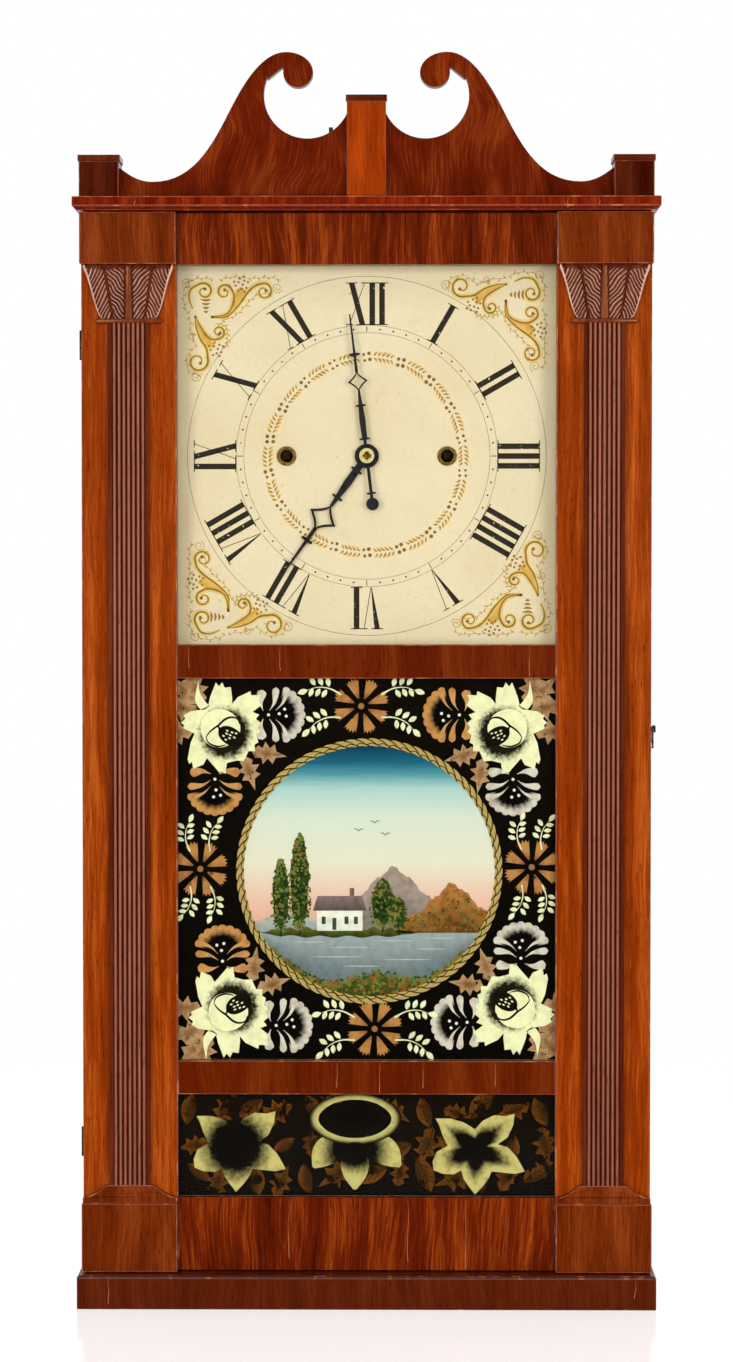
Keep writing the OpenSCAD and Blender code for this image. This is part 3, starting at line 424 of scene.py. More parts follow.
def stroke(path: Sequence[Point], width: float, taper: Taper = Taper.EVEN, steps: int = 12,
           across: int = 1, jag: Callable[[float], float] = lambda u: 1.0) -> Piece:
    """Paints a brush stroke along a path.

    Args:
        path: points along the middle of the stroke.
        width: its full width.
        taper: how the width changes.
        steps: faces along it.
        across: faces across it.
        jag: a share of the width at each place, for a ragged edge.

    Returns:
        The mark, with U along it and V across it.
    """
    spine = even_points(path, steps)

    def place(u: float, v: float) -> Point:
        """Sets a point off from the spine."""
        i = round(u * steps)
        ahead, behind = spine[min(i + 1, steps)], spine[max(i - 1, 0)]
        length = max(dist(ahead, behind), 1e-9)
        half = (v - 0.5) * width * taper.share(u) * jag(u)
        return (spine[i][0] - (ahead[1] - behind[1]) / length * half,
                spine[i][1] + (ahead[0] - behind[0]) / length * half)

    return painted_grid(steps, across, place)


def fill_between(edge_a: Sequence[Point], edge_b: Sequence[Point], steps: int = 14) -> Piece:
    """Paints the space between two edges that start together.

    Args:
        edge_a: points along the first edge.
        edge_b: points along the second.
        steps: faces along them.

    Returns:
        The mark.
    """
    first, second = even_points(edge_a, steps), even_points(edge_b, steps)

    def place(u: float, v: float) -> Point:
        """Sets a point between the edges."""
        i = round(u * steps)
        return tuple(a + (b - a) * v for a, b in zip(first[i], second[i]))

    return painted_grid(steps, 3, place)


def round_mark(outline: Callable[[float], float], segments: int, rings: int, hole: float = 0.0,
               squeeze: float = 1.0) -> Piece:
    """Paints a round mark with an outline of its own.

    Args:
        outline: the radius at an angle.
        segments: faces round it.
        rings: faces from the middle to the edge.
        hole: radius of the middle that is left out, as a share.
        squeeze: its height as a share of its width.

    Returns:
        The mark, with U round it and V from the middle to the edge.
    """
    def place(u: float, v: float) -> Point:
        """Sets a point at its angle and reach."""
        angle = -TURN * u
        reach = outline(angle) * (hole + (1 - hole) * v)
        return reach * cos(angle), reach * sin(angle) * squeeze

    return painted_grid(segments, rings, place)


def fan_mark(outline: Sequence[Point], rings: int, centre: Point = (0.0, 0.0)) -> Piece:
    """Paints a mark with a drawn outline.

    Args:
        outline: its corners, in order.
        rings: faces from the middle to the edge.
        centre: where its middle is.

    Returns:
        The mark about its centre, with U round it and V from the middle to the edge.
    """
    closed = [*outline, outline[0]]

    def place(u: float, v: float) -> Point:
        """Sets a point on the way from the centre to a corner."""
        x, z = closed[round(u * (len(closed) - 1))]
        return (x - centre[0]) * v, (z - centre[1]) * v

    return painted_grid(len(closed) - 1, rings, place)


def stamp(master: Piece, x: float = 0.0, z: float = 0.0, turn: float = 0.0, size: float = 1.0,
          mirrored: bool = False) -> Piece:
    """Copies a mark to another place, with a mesh of its own.

    Args:
        master: the mark, drawn about its own origin.
        x: where the copy's origin goes to the right.
        z: where it goes up.
        turn: its turn to the left, in degrees.
        size: its size as a share of the master's.
        mirrored: whether left and right change over first.

    Returns:
        The copy.
    """
    copy = master.copy()
    copy.data = master.data.copy()
    bpy.context.scene.collection.objects.link(copy)
    side = -size if mirrored else size
    copy.data.transform(Matrix.Translation((x * MM, 0, z * MM)) @ Matrix.Rotation(-radians(turn), 4, "Y")
                        @ Matrix.Diagonal((side, 1, size, 1)))
    if mirrored:
        copy.data.flip_normals()
    return copy


def shift(mark: Piece, x: float, z: float) -> Piece:
    """Moves a mark's own mesh to another place and returns the mark."""
    mark.data.transform(Matrix.Translation((x * MM, 0, z * MM)))
    return mark


def dot(x: float, z: float, radius: float) -> Piece:
    """Paints a small round dot."""
    return shift(round_mark(lambda angle: radius, 9, 1), x, z)


def fade_from(mark: Piece, centre: Point, reach: float) -> Piece:
    """Makes a mark's V its distance from a point.

    Args:
        mark: the mark.
        centre: the point.
        reach: the distance at which V is 1.

    Returns:
        The same mark.
    """
    sheet = mark.data.uv_layers.active.data
    for loop in mark.data.loops:
        x, _, z = mark.data.vertices[loop.vertex_index].co / MM
        sheet[loop.index].uv.y = dist((x, z), centre) / reach
    return mark


def scrap(*masters: Piece) -> None:
    """Takes master marks away once their copies are made."""
    for master in masters:
        bpy.data.objects.remove(master)


def paint_film(marks: Sequence[Piece], depth: float, thick: float = FILM_T) -> Piece:
    """Joins marks into one thin film of paint.

    Args:
        marks: the marks, which face the front.
        depth: where the front of the film lies along Y.
        thick: how thick it is.

    Returns:
        The film, closed all round.
    """
    for number, mark in enumerate(marks):
        for vertex in mark.data.vertices:
            vertex.co.y = (depth + number % 8 * MARK_STEP) * MM
    film = join(marks)
    edit(film, lambda: bpy.ops.mesh.remove_doubles(threshold=1e-6))
    apply_modifier(film, "SOLIDIFY", thickness=thick * MM, offset=-1.0)
    return film


# Finishes


def grain(add: AddNode, here: Node | Socket, scale: tuple[float, ...], offset: float = 0.0,
          **settings: float) -> Node:
    """Lays a noise that is drawn out along the grain.

    Args:
        add: adds a node to the material.
        here: the place on the piece.
        scale: the texture scale along each axis.
        offset: how far the pattern is moved, so that boards differ.
        settings: the noise's own settings.

    Returns:
        The noise.
    """
    place = add("ShaderNodeMapping", {"Location": (offset, offset, 0), "Scale": scale, "Vector": here})
    return add("ShaderNodeTexNoise", {"Scale": 1.0, "Vector": place, **settings})


@dataclass(frozen=True)
class Finish:
    """A finish, which is made as a material of the same name."""

    name: str

    def pattern(self, add: AddNode, places: Places) -> Values:
        """Lays the pattern out.

        Args:
            add: adds a node to the material.
            places: the places on the piece, by the kind of coordinates.

        Returns:
            What each input of the surface shader gets.
        """
        raise NotImplementedError

    def build(self) -> Material:
        """Makes the material.

        Returns:
            The material, with one surface shader.
        """
        material, add = new_material(self.name)
        shader = add("ShaderNodeBsdfPrincipled", self.pattern(add, add("ShaderNodeTexCoord").outputs))
        add("ShaderNodeOutputMaterial", {"Surface": shader})
        return material


@dataclass(frozen=True)
class Mahogany(Finish):
    """Mahogany veneer under worn shellac: warm streaks along the grain, fine dark pores and a soft gloss."""

    dark: str
    mid: str
    light: str
    figure: Figure = Figure.STRAIGHT
    figure_mm: float = 20.0
    fibre_mm: float = 1.3
    gloss: float = 0.2
    shine: float = 0.12
    seed: float = 0.0

    def tint(self, add: AddNode, here: Socket, figure: Node, colour: Node) -> Node:
        """Changes the wood's colour where a kind of board needs it.

        Args:
            add: adds a node to the material.
            here: the place on the board.
            figure: the figure and fibre of the wood, from 0 to 1.
            colour: the wood's own colour.

        Returns:
            The colour to use, which is the wood's own for plain veneer.
        """
        return colour

    def pattern(self, add: AddNode, places: Places) -> Values:
        """Lays the figure, the fibre and the pores along Z."""
        here = places["Object"]
        sway, length = self.figure.value
        wander = add("ShaderNodeTexNoise", {"Scale": per_mm(85), "Detail": 1.5, "Vector": here})
        moved = add("ShaderNodeVectorMath", {
            "operation": "MULTIPLY_ADD", 0: wander.outputs["Color"], 1: (2 * sway * MM, 0, 0.6 * sway * MM),
            2: here})
        across, thin = per_mm(self.figure_mm), per_mm(self.fibre_mm)
        band = grain(add, moved, (across, across, across / length), self.seed, Detail=4.0, Roughness=0.6)
        fibre = grain(add, moved, (thin, thin, thin / 26), Detail=3.0, Roughness=0.65)
        blend = add("ShaderNodeMix", {0: 0.42, 2: band, 3: fibre})
        tone = add("ShaderNodeValToRGB", {
            "ramp": ((0.3, self.dark), (0.5, self.mid), (0.7, self.light)), "Fac": blend})
        # Pores of about 0.4 by 8 mm, drawn twice as wide so that they show
        pore = grain(add, moved, (per_mm(0.8), per_mm(0.8), per_mm(9)), Detail=1.0)
        pit = add("ShaderNodeMapRange", {0: pore, 1: 0.62, 2: 0.74, 3: 0.0, 4: 0.55})
        colour = add("ShaderNodeMix", {"data_type": "RGBA", "blend_type": "MULTIPLY", 0: pit,
                                       6: self.tint(add, here, blend, tone), 7: "#4A2010"})
        rough = add("ShaderNodeMapRange", {
            0: band, 1: 0.3, 2: 0.7, 3: self.gloss - 0.05, 4: self.gloss + 0.12})
        bump = add("ShaderNodeBump", {"Strength": 0.12, "Distance": 0.15 * MM, "Height": fibre})
        return {"Base Color": colour, "Roughness": rough, "Normal": bump, "Specular IOR Level": self.shine,
                "Specular Tint": "#FFBE8C"}


@dataclass(frozen=True)
class HeartMahogany(Mahogany):
    """Mahogany whose sapwood gives a golden stretch about the middle of the clock."""

    heart_dark: str = "#5C1200"
    heart_light: str = "#A83E04"
    half: float = 40.0

    def tint(self, add: AddNode, here: Socket, figure: Node, colour: Node) -> Node:
        """Gives the figure golden colours inside the stretch."""
        side = add("ShaderNodeSeparateXYZ", {0: here}).outputs["X"]
        off = add("ShaderNodeMath", {"operation": "ABSOLUTE", 0: side})
        inside = add("ShaderNodeMath", {"operation": "LESS_THAN", 0: off, 1: self.half * MM})
        gold = add("ShaderNodeValToRGB", {
            "ramp": ((0.32, self.heart_dark), (0.66, self.heart_light)), "Fac": figure})
        return add("ShaderNodeMix", {"data_type": "RGBA", 0: inside, 6: colour, 7: gold})


@dataclass(frozen=True)
class RubbedMahogany(Mahogany):
    """Mahogany worked in relief, darkened in its hollows by grime and painted shade, with a painted highlight
    on its crests.

    The height of the relief is the mesh's own crest value, from 0 in a hollow to 1 on an edge.
    """

    # crest is the colour of the painted highlight, grime that of the grime and painted shade in the hollows
    crest: str = "#B48E7C"
    grime: str = "#260A02"

    def tint(self, add: AddNode, here: Socket, figure: Node, colour: Node) -> Node:
        """Darkens the hollows with grime and painted shade and paints a highlight on the crests, more in some
        places than in others.
        """
        high = add("ShaderNodeAttribute", {"attribute_name": "crest"}).outputs["Fac"]
        # Grime and painted shade: the hollows darken towards the grime colour
        hollow = add("ShaderNodeMapRange", {0: high, 1: 0.0, 2: 0.5, 3: 0.9, 4: 0.0})
        grimed_and_shaded = add("ShaderNodeMix", {"data_type": "RGBA", 0: hollow, 6: colour, 7: self.grime})
        # Painted highlight: the crests pale as if they caught the light, more in some places than in others
        edge = add("ShaderNodeMapRange", {0: high, 1: 0.55, 2: 0.95, 3: 0.0, 4: 0.95})
        highlight_patches = add("ShaderNodeMapRange", {0: figure, 1: 0.36, 2: 0.64, 3: 0.55, 4: 1.0})
        rubbed = add("ShaderNodeMath", {"operation": "MULTIPLY", 0: edge, 1: highlight_patches})
        return add("ShaderNodeMix", {"data_type": "RGBA", 0: rubbed, 6: grimed_and_shaded, 7: self.crest})


@dataclass(frozen=True)
class WornEdge(Finish):
    """A rubbed edge of shellacked veneer: bare paler wood that comes and goes along the edge."""

    wood: str
    bare: str
    share: float = 0.5

    def pattern(self, add: AddNode, places: Places) -> Values:
        """Lays the bare wood in patches."""
        rub = add("ShaderNodeTexNoise", {"Scale": per_mm(11), "Detail": 4.0, "Vector": places["Object"]})
        worn = add("ShaderNodeMapRange", {0: rub, 1: 0.62 - 0.3 * self.share, 2: 0.72 - 0.3 * self.share})
        colour = add("ShaderNodeMix", {"data_type": "RGBA", 0: worn, 6: self.wood, 7: self.bare})
        return {"Base Color": colour, "Roughness": 0.5}


@dataclass(frozen=True)
class PlainWood(Finish):
    """Planed wood with no polish: broad growth rings, fine grain and a dull surface gone grey with dust."""

    early: str
    late: str
    ring_mm: float = 9.0
    along: tuple[float, float, float] = (1.0, 1.0, 0.06)
    roughness: float = 0.62
    shine: float = 0.5

    def pattern(self, add: AddNode, places: Places) -> Values:
        """Lays the growth rings. The smallest share in along is the way that the grain runs."""
        here = places["Object"]
        rings = grain(add, here, tuple(per_mm(self.ring_mm) * a for a in self.along),
                      Detail=5.0, Roughness=0.62, Distortion=0.6)
        tone = add("ShaderNodeValToRGB", {"ramp": ((0.32, self.late), (0.62, self.early)), "Fac": rings})
        dust = add("ShaderNodeTexNoise", {"Scale": per_mm(60), "Detail": 3.0, "Vector": here})
        grime = add("ShaderNodeMapRange", {0: dust, 1: 0.4, 2: 0.75, 3: 0.0, 4: 0.4})
        colour = add("ShaderNodeMix", {"data_type": "RGBA", 0: grime, 6: tone, 7: "#5A4A38"})
        bump = add("ShaderNodeBump", {"Strength": 0.25, "Distance": 0.2 * MM, "Height": rings})
        return {"Base Color": colour, "Normal": bump, "Roughness": self.roughness,
                "Specular IOR Level": self.shine}


@dataclass(frozen=True)
class Metal(Finish):
    """A worked metal with tarnish in patches, duller where it is tarnished."""

    bright: str
    tarnish: str
    patch_mm: float = 7.0
    roughness: tuple[float, float] = (0.22, 0.5)
    cover: float = 0.5

    def pattern(self, add: AddNode, places: Places) -> Values:
        """Lays the tarnish, and fine scratches over it."""
        here = places["Object"]
        patch = add("ShaderNodeTexNoise", {"Scale": per_mm(self.patch_mm), "Detail": 5.0, "Vector": here})
        dull = add("ShaderNodeMapRange", {0: patch, 1: 0.62 - 0.3 * self.cover, 2: 0.8 - 0.3 * self.cover})
        colour = add("ShaderNodeMix", {"data_type": "RGBA", 0: dull, 6: self.bright, 7: self.tarnish})
        rough = add("ShaderNodeMapRange", {0: dull, 3: self.roughness[0], 4: self.roughness[1]})
        scratch = add("ShaderNodeTexNoise", {"Scale": per_mm(0.9), "Detail": 2.0, "Vector": here})
        bump = add("ShaderNodeBump", {"Strength": 0.1, "Distance": 0.05 * MM, "Height": scratch})
        return {"Base Color": colour, "Roughness": rough, "Normal": bump, "Metallic": 1.0}


@dataclass(frozen=True)
class DialEnamel(Finish):
    """White lead paint on a wooden dial, gone cream: uneven toning, craquelure, flyspecks, painted shade at
    the sides.
    """

    cream: str
    toned: str
    # edge is the colour of the painted shade at the sides, and edge_w how far in it reaches
    edge: str
    half: float
    edge_w: float = 20.0

    def pattern(self, add: AddNode, places: Places) -> Values:
        """Lays the toning, and painted shade from the door frame a set way in from the door's opening."""
        here = places["Object"]
        cloud = add("ShaderNodeTexNoise", {"Scale": per_mm(55), "Detail": 4.0, "Vector": here})
        age = add("ShaderNodeMapRange", {0: cloud, 1: 0.35, 2: 0.7, 3: 0.0, 4: 0.6})
        colour = add("ShaderNodeMix", {"data_type": "RGBA", 0: age, 6: self.cream, 7: self.toned})
        # Painted shade: the dial greys towards the sides of the door's opening, where the frame's shadow
        # falls
        side = add("ShaderNodeMath", {
            "operation": "ABSOLUTE", 0: add("ShaderNodeSeparateXYZ", {0: here}).outputs["X"]})
        grey = add("ShaderNodeMapRange", {
            "interpolation_type": "SMOOTHERSTEP", 0: side, 1: (self.half - self.edge_w) * MM,
            2: self.half * MM, 3: 0.0, 4: 0.1})
        crack = add("ShaderNodeTexVoronoi", {
            "feature": "DISTANCE_TO_EDGE", "Scale": per_mm(8), "Randomness": 1.0, "Vector": here})
        line = add("ShaderNodeMapRange", {0: crack, 1: 0.0, 2: 0.045, 3: 0.16, 4: 0.0})
        speck = add("ShaderNodeTexNoise", {"Scale": per_mm(3.2), "Detail": 1.0, "Vector": here})
        spot = add("ShaderNodeMapRange", {0: speck, 1: 0.76, 2: 0.82, 3: 0.0, 4: 0.5})
        for share, code in ((grey, self.edge), (line, "#B09A6C"), (spot, "#8A7450")):
            colour = add("ShaderNodeMix", {"data_type": "RGBA", 0: share, 6: colour, 7: code})
        bump = add("ShaderNodeBump", {"Strength": 0.1, "Distance": 0.1 * MM, "Height": crack})
        return {"Base Color": colour, "Normal": bump, "Roughness": 0.5, "Specular IOR Level": 0.3}


@dataclass(frozen=True)
class Paint(Finish):
    """Oil paint laid on with brush or stencil: it fades across the mark, is mottled, and flakes in chips."""

    inner: str
    outer: str
    fade: tuple[float, float] = (0.0, 1.0)
    along: bool = False
    loss: float = 0.0
    ground: str = "#E6D8B2"
    chip_mm: float = 3.0
    mottle: float = 0.35
    shine: float = 0.0

    def pattern(self, add: AddNode, places: Places) -> Values:
        """Lays the two colours. The fade follows the mark's own U or V."""
        here = places["Object"]
        way = add("ShaderNodeSeparateXYZ", {0: places["UV"]}).outputs["X" if self.along else "Y"]
        grit = add("ShaderNodeTexNoise", {"Scale": per_mm(2.2), "Detail": 4.0, "Vector": here})
        ragged = add("ShaderNodeMath", {"operation": "MULTIPLY_ADD", 0: grit, 1: 0.24, 2: way})
        share = add("ShaderNodeMapRange", {"interpolation_type": "SMOOTHSTEP", 0: ragged,
                                           1: self.fade[0] + 0.12, 2: self.fade[1] + 0.12})
        colour = add("ShaderNodeMix", {"data_type": "RGBA", 0: share, 6: self.inner, 7: self.outer})
        cloud = add("ShaderNodeTexNoise", {"Scale": per_mm(6), "Detail": 5.0, "Vector": here})
        dirt = add("ShaderNodeMapRange", {0: cloud, 1: 0.45, 2: 0.8, 3: 0.0, 4: self.mottle})
        colour = add("ShaderNodeMix", {
            "data_type": "RGBA", "blend_type": "MULTIPLY", 0: dirt, 6: colour, 7: "#8C6A48"})
        if self.loss:
            chip = add("ShaderNodeTexNoise", {"Scale": per_mm(self.chip_mm), "Detail": 3.0, "Vector": here})
            bare = add("ShaderNodeMapRange", {0: chip, 1: 0.72 - self.loss, 2: 0.75 - self.loss})
            colour = add("ShaderNodeMix", {"data_type": "RGBA", 0: bare, 6: colour, 7: self.ground})
        return {"Base Color": colour, "Roughness": 0.6, "Specular IOR Level": self.shine}


@dataclass(frozen=True)
class SkyWash(Finish):
    """A graded wash of oil paint, dark blue at the top and rose at the horizon, with faint brush lines."""

    low: float
    high: float
    stops: tuple[tuple[float, str], ...]

    def pattern(self, add: AddNode, places: Places) -> Values:
        """Grades the colours between two heights."""
        here = places["Object"]
        brush = grain(add, here, (per_mm(30), per_mm(30), per_mm(1.6)), Detail=3.0)
        height = add("ShaderNodeSeparateXYZ", {0: here}).outputs["Z"]
        share = add("ShaderNodeMapRange", {0: height, 1: self.low * MM, 2: self.high * MM})
        stroked = add("ShaderNodeMath", {"operation": "MULTIPLY_ADD", 0: brush, 1: 0.03, 2: share})
        tone = add("ShaderNodeValToRGB", {"ramp": self.stops, "Fac": stroked})
        return {"Base Color": tone, "Roughness": 0.6, "Specular IOR Level": 0.0}


@dataclass(frozen=True)
class RopeGilt(Finish):
    """Bronze powder laid in a twisted rope beside a thin wavy line, with brown between the strands."""

    gold: str
    shade: str
    twists: int

    def pattern(self, add: AddNode, places: Places) -> Values:
        """Lays the rope along the ring's own U, with the thin line at the low side of V."""
        mark = add("ShaderNodeSeparateXYZ", {0: places["UV"]}).outputs
        grit = add("ShaderNodeTexNoise", {"Scale": per_mm(2), "Detail": 3.0, "Vector": places["Object"]})
        turns = add("ShaderNodeMath", {"operation": "MULTIPLY", 0: mark["X"], 1: self.twists})
        slant = add("ShaderNodeMath", {"operation": "MULTIPLY_ADD", 0: mark["Y"], 1: 1.2, 2: turns})
        strand = add("ShaderNodeMath", {"operation": "PINGPONG", 0: slant, 1: 0.5})
        phase = add("ShaderNodeMath", {"operation": "MULTIPLY", 0: turns, 1: TURN})
        sway = add("ShaderNodeMath", {"operation": "SINE", 0: phase})
        line = add("ShaderNodeMath", {"operation": "MULTIPLY_ADD", 0: sway, 1: 0.06, 2: 0.3})
        beside = add("ShaderNodeMath", {"operation": "SUBTRACT", 0: mark["Y"], 1: line})
        off = add("ShaderNodeMath", {"operation": "ABSOLUTE", 0: beside})
        wide = add("ShaderNodeMath", {"operation": "MULTIPLY", 0: off, 1: 1.6})
        least = add("ShaderNodeMath", {"operation": "MINIMUM", 0: strand, 1: wide})
        near = add("ShaderNodeMath", {"operation": "MULTIPLY_ADD", 0: grit, 1: 0.08, 2: least})
        share = add("ShaderNodeMapRange", {0: near, 1: 0.1, 2: 0.19})
        colour = add("ShaderNodeMix", {"data_type": "RGBA", 0: share, 6: self.shade, 7: self.gold})
        return {"Base Color": colour, "Roughness": 0.6, "Specular IOR Level": 0.0}


@dataclass(frozen=True)
class ClearGlass(Finish):
    """Old window glass: see-through, with a faint reflection that grows at a slant."""

    index: float = 1.2

    def build(self) -> Material:
        """Makes the material. The index is low because the pane's two faces both reflect.

        Returns:
            The material, which mixes a clear and a glossy shader.
        """
        material, add = new_material(self.name)
        here = add("ShaderNodeTexCoord").outputs["Object"]
        ripple = add("ShaderNodeTexNoise", {"Scale": per_mm(70), "Detail": 1.0, "Vector": here})
        bump = add("ShaderNodeBump", {"Strength": 0.08, "Distance": 1.0 * MM, "Height": ripple})
        clear = add("ShaderNodeBsdfTransparent", {"Color": "#FCFDFA"})
        shine = add("ShaderNodeBsdfGlossy", {"Roughness": 0.03, "Normal": bump})
        edge = add("ShaderNodeFresnel", {"IOR": self.index, "Normal": bump})
        both = add("ShaderNodeMixShader", {0: edge, 1: clear, 2: shine})
        add("ShaderNodeOutputMaterial", {"Surface": both})
        return material


@dataclass(frozen=True)
class Cordage(Finish):
    """Waxed flax cord: dull tan fibre, darker between its turns."""

    flax: str
    grime: str

    def pattern(self, add: AddNode, places: Places) -> Values:
        """Lays the fibre."""
        fibre = add("ShaderNodeTexNoise", {"Scale": per_mm(1.1), "Detail": 4.0, "Vector": places["Object"]})
        tone = add("ShaderNodeValToRGB", {"ramp": ((0.3, self.grime), (0.65, self.flax)), "Fac": fibre})
        bump = add("ShaderNodeBump", {"Strength": 0.3, "Distance": 0.1 * MM, "Height": fibre})
        return {"Base Color": tone, "Normal": bump, "Roughness": 0.85}


# Sub-assemblies


@dataclass
class Woodwork:
    """The case, the door and the crest: which finish each board has and how far its edges are rubbed."""

    edge_w: float = 0.7
    edge_angle: float = 40.0
    weld_gap: float = 0.005
    crack_w: float = 0.35
    crack_proud: float = 0.02
    crack_seed: int = 11
    rail_cracks: dict[str, tuple[float, ...]] = field(default_factory=lambda: {
        "door_cross_rails": (-132.0, -64.0, -22.0, 10.0, 42.0, 96.0, 121.0),
        "door_bottom_rail": (-58.0, 31.0, 74.0),
        "base_board": (-191.0, 199.0),
        "cornice_board": (-170.0, 148.0, 171.0),
    })

    def finishes(self) -> dict[str, tuple[Mahogany, WornEdge]]:
        """Gives each show board its wood and its rubbed edge.

        Returns:
            The pair of finishes by the board's node.
        """
        roey = Figure.ROEY
        stile = Mahogany("mahogany_stile_straight", "#561900", "#843003", "#B85818", figure_mm=11.0)
        rail = Mahogany("mahogany_rail_crossbanded", "#420C01", "#5B1A02", "#742E08", roey, 24.0, seed=3.1)
        flame = Mahogany("mahogany_crest_flame", "#2A0400", "#5C1502", "#8C3A0E", Figure.FLAME, 30.0,
                         seed=7.7)
        frieze = Mahogany("mahogany_frieze_roey", "#1C0300", "#601903", "#A6480E", roey, 15.0, seed=1.4)
        block = Mahogany("mahogany_block_veneer", "#3E1002", "#682404", "#8C4016", roey, 18.0, seed=5.2)
        ledge = Mahogany("mahogany_cornice_crossbanded", "#400500", "#681200", "#942C04", roey, 9.0)
        plank = Mahogany("mahogany_base_brown", "#3C1003", "#511A06", "#65290C", roey, 16.0, seed=2.2)
        plinth = HeartMahogany("mahogany_plinth_dark_and_gold", "#280400", "#400E02", "#581A04", roey, 11.0)
        side = Mahogany("mahogany_side_plain", "#4A1803", "#662808", "#824012", figure_mm=26.0, gloss=0.3)
        bright = WornEdge("rubbed_edge_bright", "#7A300C", "#A8663A", 0.25)
        dark = WornEdge("rubbed_edge_dark", "#4A1A0A", "#8A5432", 0.22)
        return {
            "door_left_stile": (stile, bright), "door_right_stile": (stile, bright),
            "door_top_rail": (frieze, dark), "door_cross_rails": (rail, bright),
            "door_bottom_rail": (frieze, dark), "corner_blocks": (block, bright),
            "pilaster_feet": (block, bright), "cornice_board": (ledge, bright), "base_board": (plank, dark),
            "crest_board": (flame, dark), "plinths": (plinth, bright), "plinth_caps": (plank, dark),
            "left_side": (side, dark), "right_side": (side, dark),
        }

    def soften(self, node: str) -> None:
        """Rounds the sharp edges of a board and gives them its second finish.

        Args:
            node: the board's node.
        """
        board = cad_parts[node]
        weld = board.modifiers.new("weld", "WELD")
        weld.merge_threshold = self.weld_gap * MM
        bevel = board.modifiers.new("rubbed_edges", "BEVEL")
        bevel.width = self.edge_w * MM
        bevel.segments = 2
        bevel.limit_method = "ANGLE"
        bevel.angle_limit = radians(self.edge_angle)
        bevel.material = 1

    def cracks(self, node: str, lines: Sequence[float], rng: random.Random) -> list[Piece]:
        """Draws shrinkage cracks up the front of a board.

        Args:
            node: the board's node.
            lines: where the cracks stand along X.
            rng: the source of their wander.

        Returns:
            The marks, at the board's own depth.
        """
        low, high = box_mm(node)
        spans = [(low.z, high.z)]
        if node == "door_cross_rails":
            pane_low, pane_high = box_mm("tablet_glass")
            spans = [(box_mm("lower_glass")[1].z - GLASS_LAP, pane_low.z + GLASS_LAP),
                     (pane_high.z - GLASS_LAP, high.z)]
        marks = []
        for x in lines:
            bottom, top = spans[rng.randrange(len(spans))]
            start = bottom + 1 + rng.random() * 0.3 * (top - bottom)
            points = [(x + rng.uniform(-0.5, 0.5), start + (top - 1 - start) * i / 4) for i in range(5)]
            mark = stroke(smooth(points, 3), self.crack_w, Taper.TAIL, steps=10)
            for vertex in mark.data.vertices:
                vertex.co.y = (low.y - self.crack_proud) * MM
            marks.append(mark)
        return marks

    def build(self) -> None:
        """Dresses the boards and lays in the cracks of the veneer."""
        made: dict[str, Material] = {}
        for node, pair in self.finishes().items():
            for finish in pair:
                if finish.name not in made:
                    made[finish.name] = finish.build()
            dress(node, *(made[finish.name] for finish in pair))
            self.soften(node)
        rng = random.Random(self.crack_seed)
        pale = Paint("pale_crack_in_veneer", "#B06A40", "#C68A5E", mottle=0.5).build()
        for node, lines in self.rail_cracks.items():
            line = join(self.cracks(node, lines, rng))
            apply_modifier(line, "SOLIDIFY", thickness=FILM_T * MM, offset=-1.0)
            body = Body.DOOR if node.startswith("door") else Body.CASE
            add_piece(line, f"veneer_cracks_{node}", body, pale)


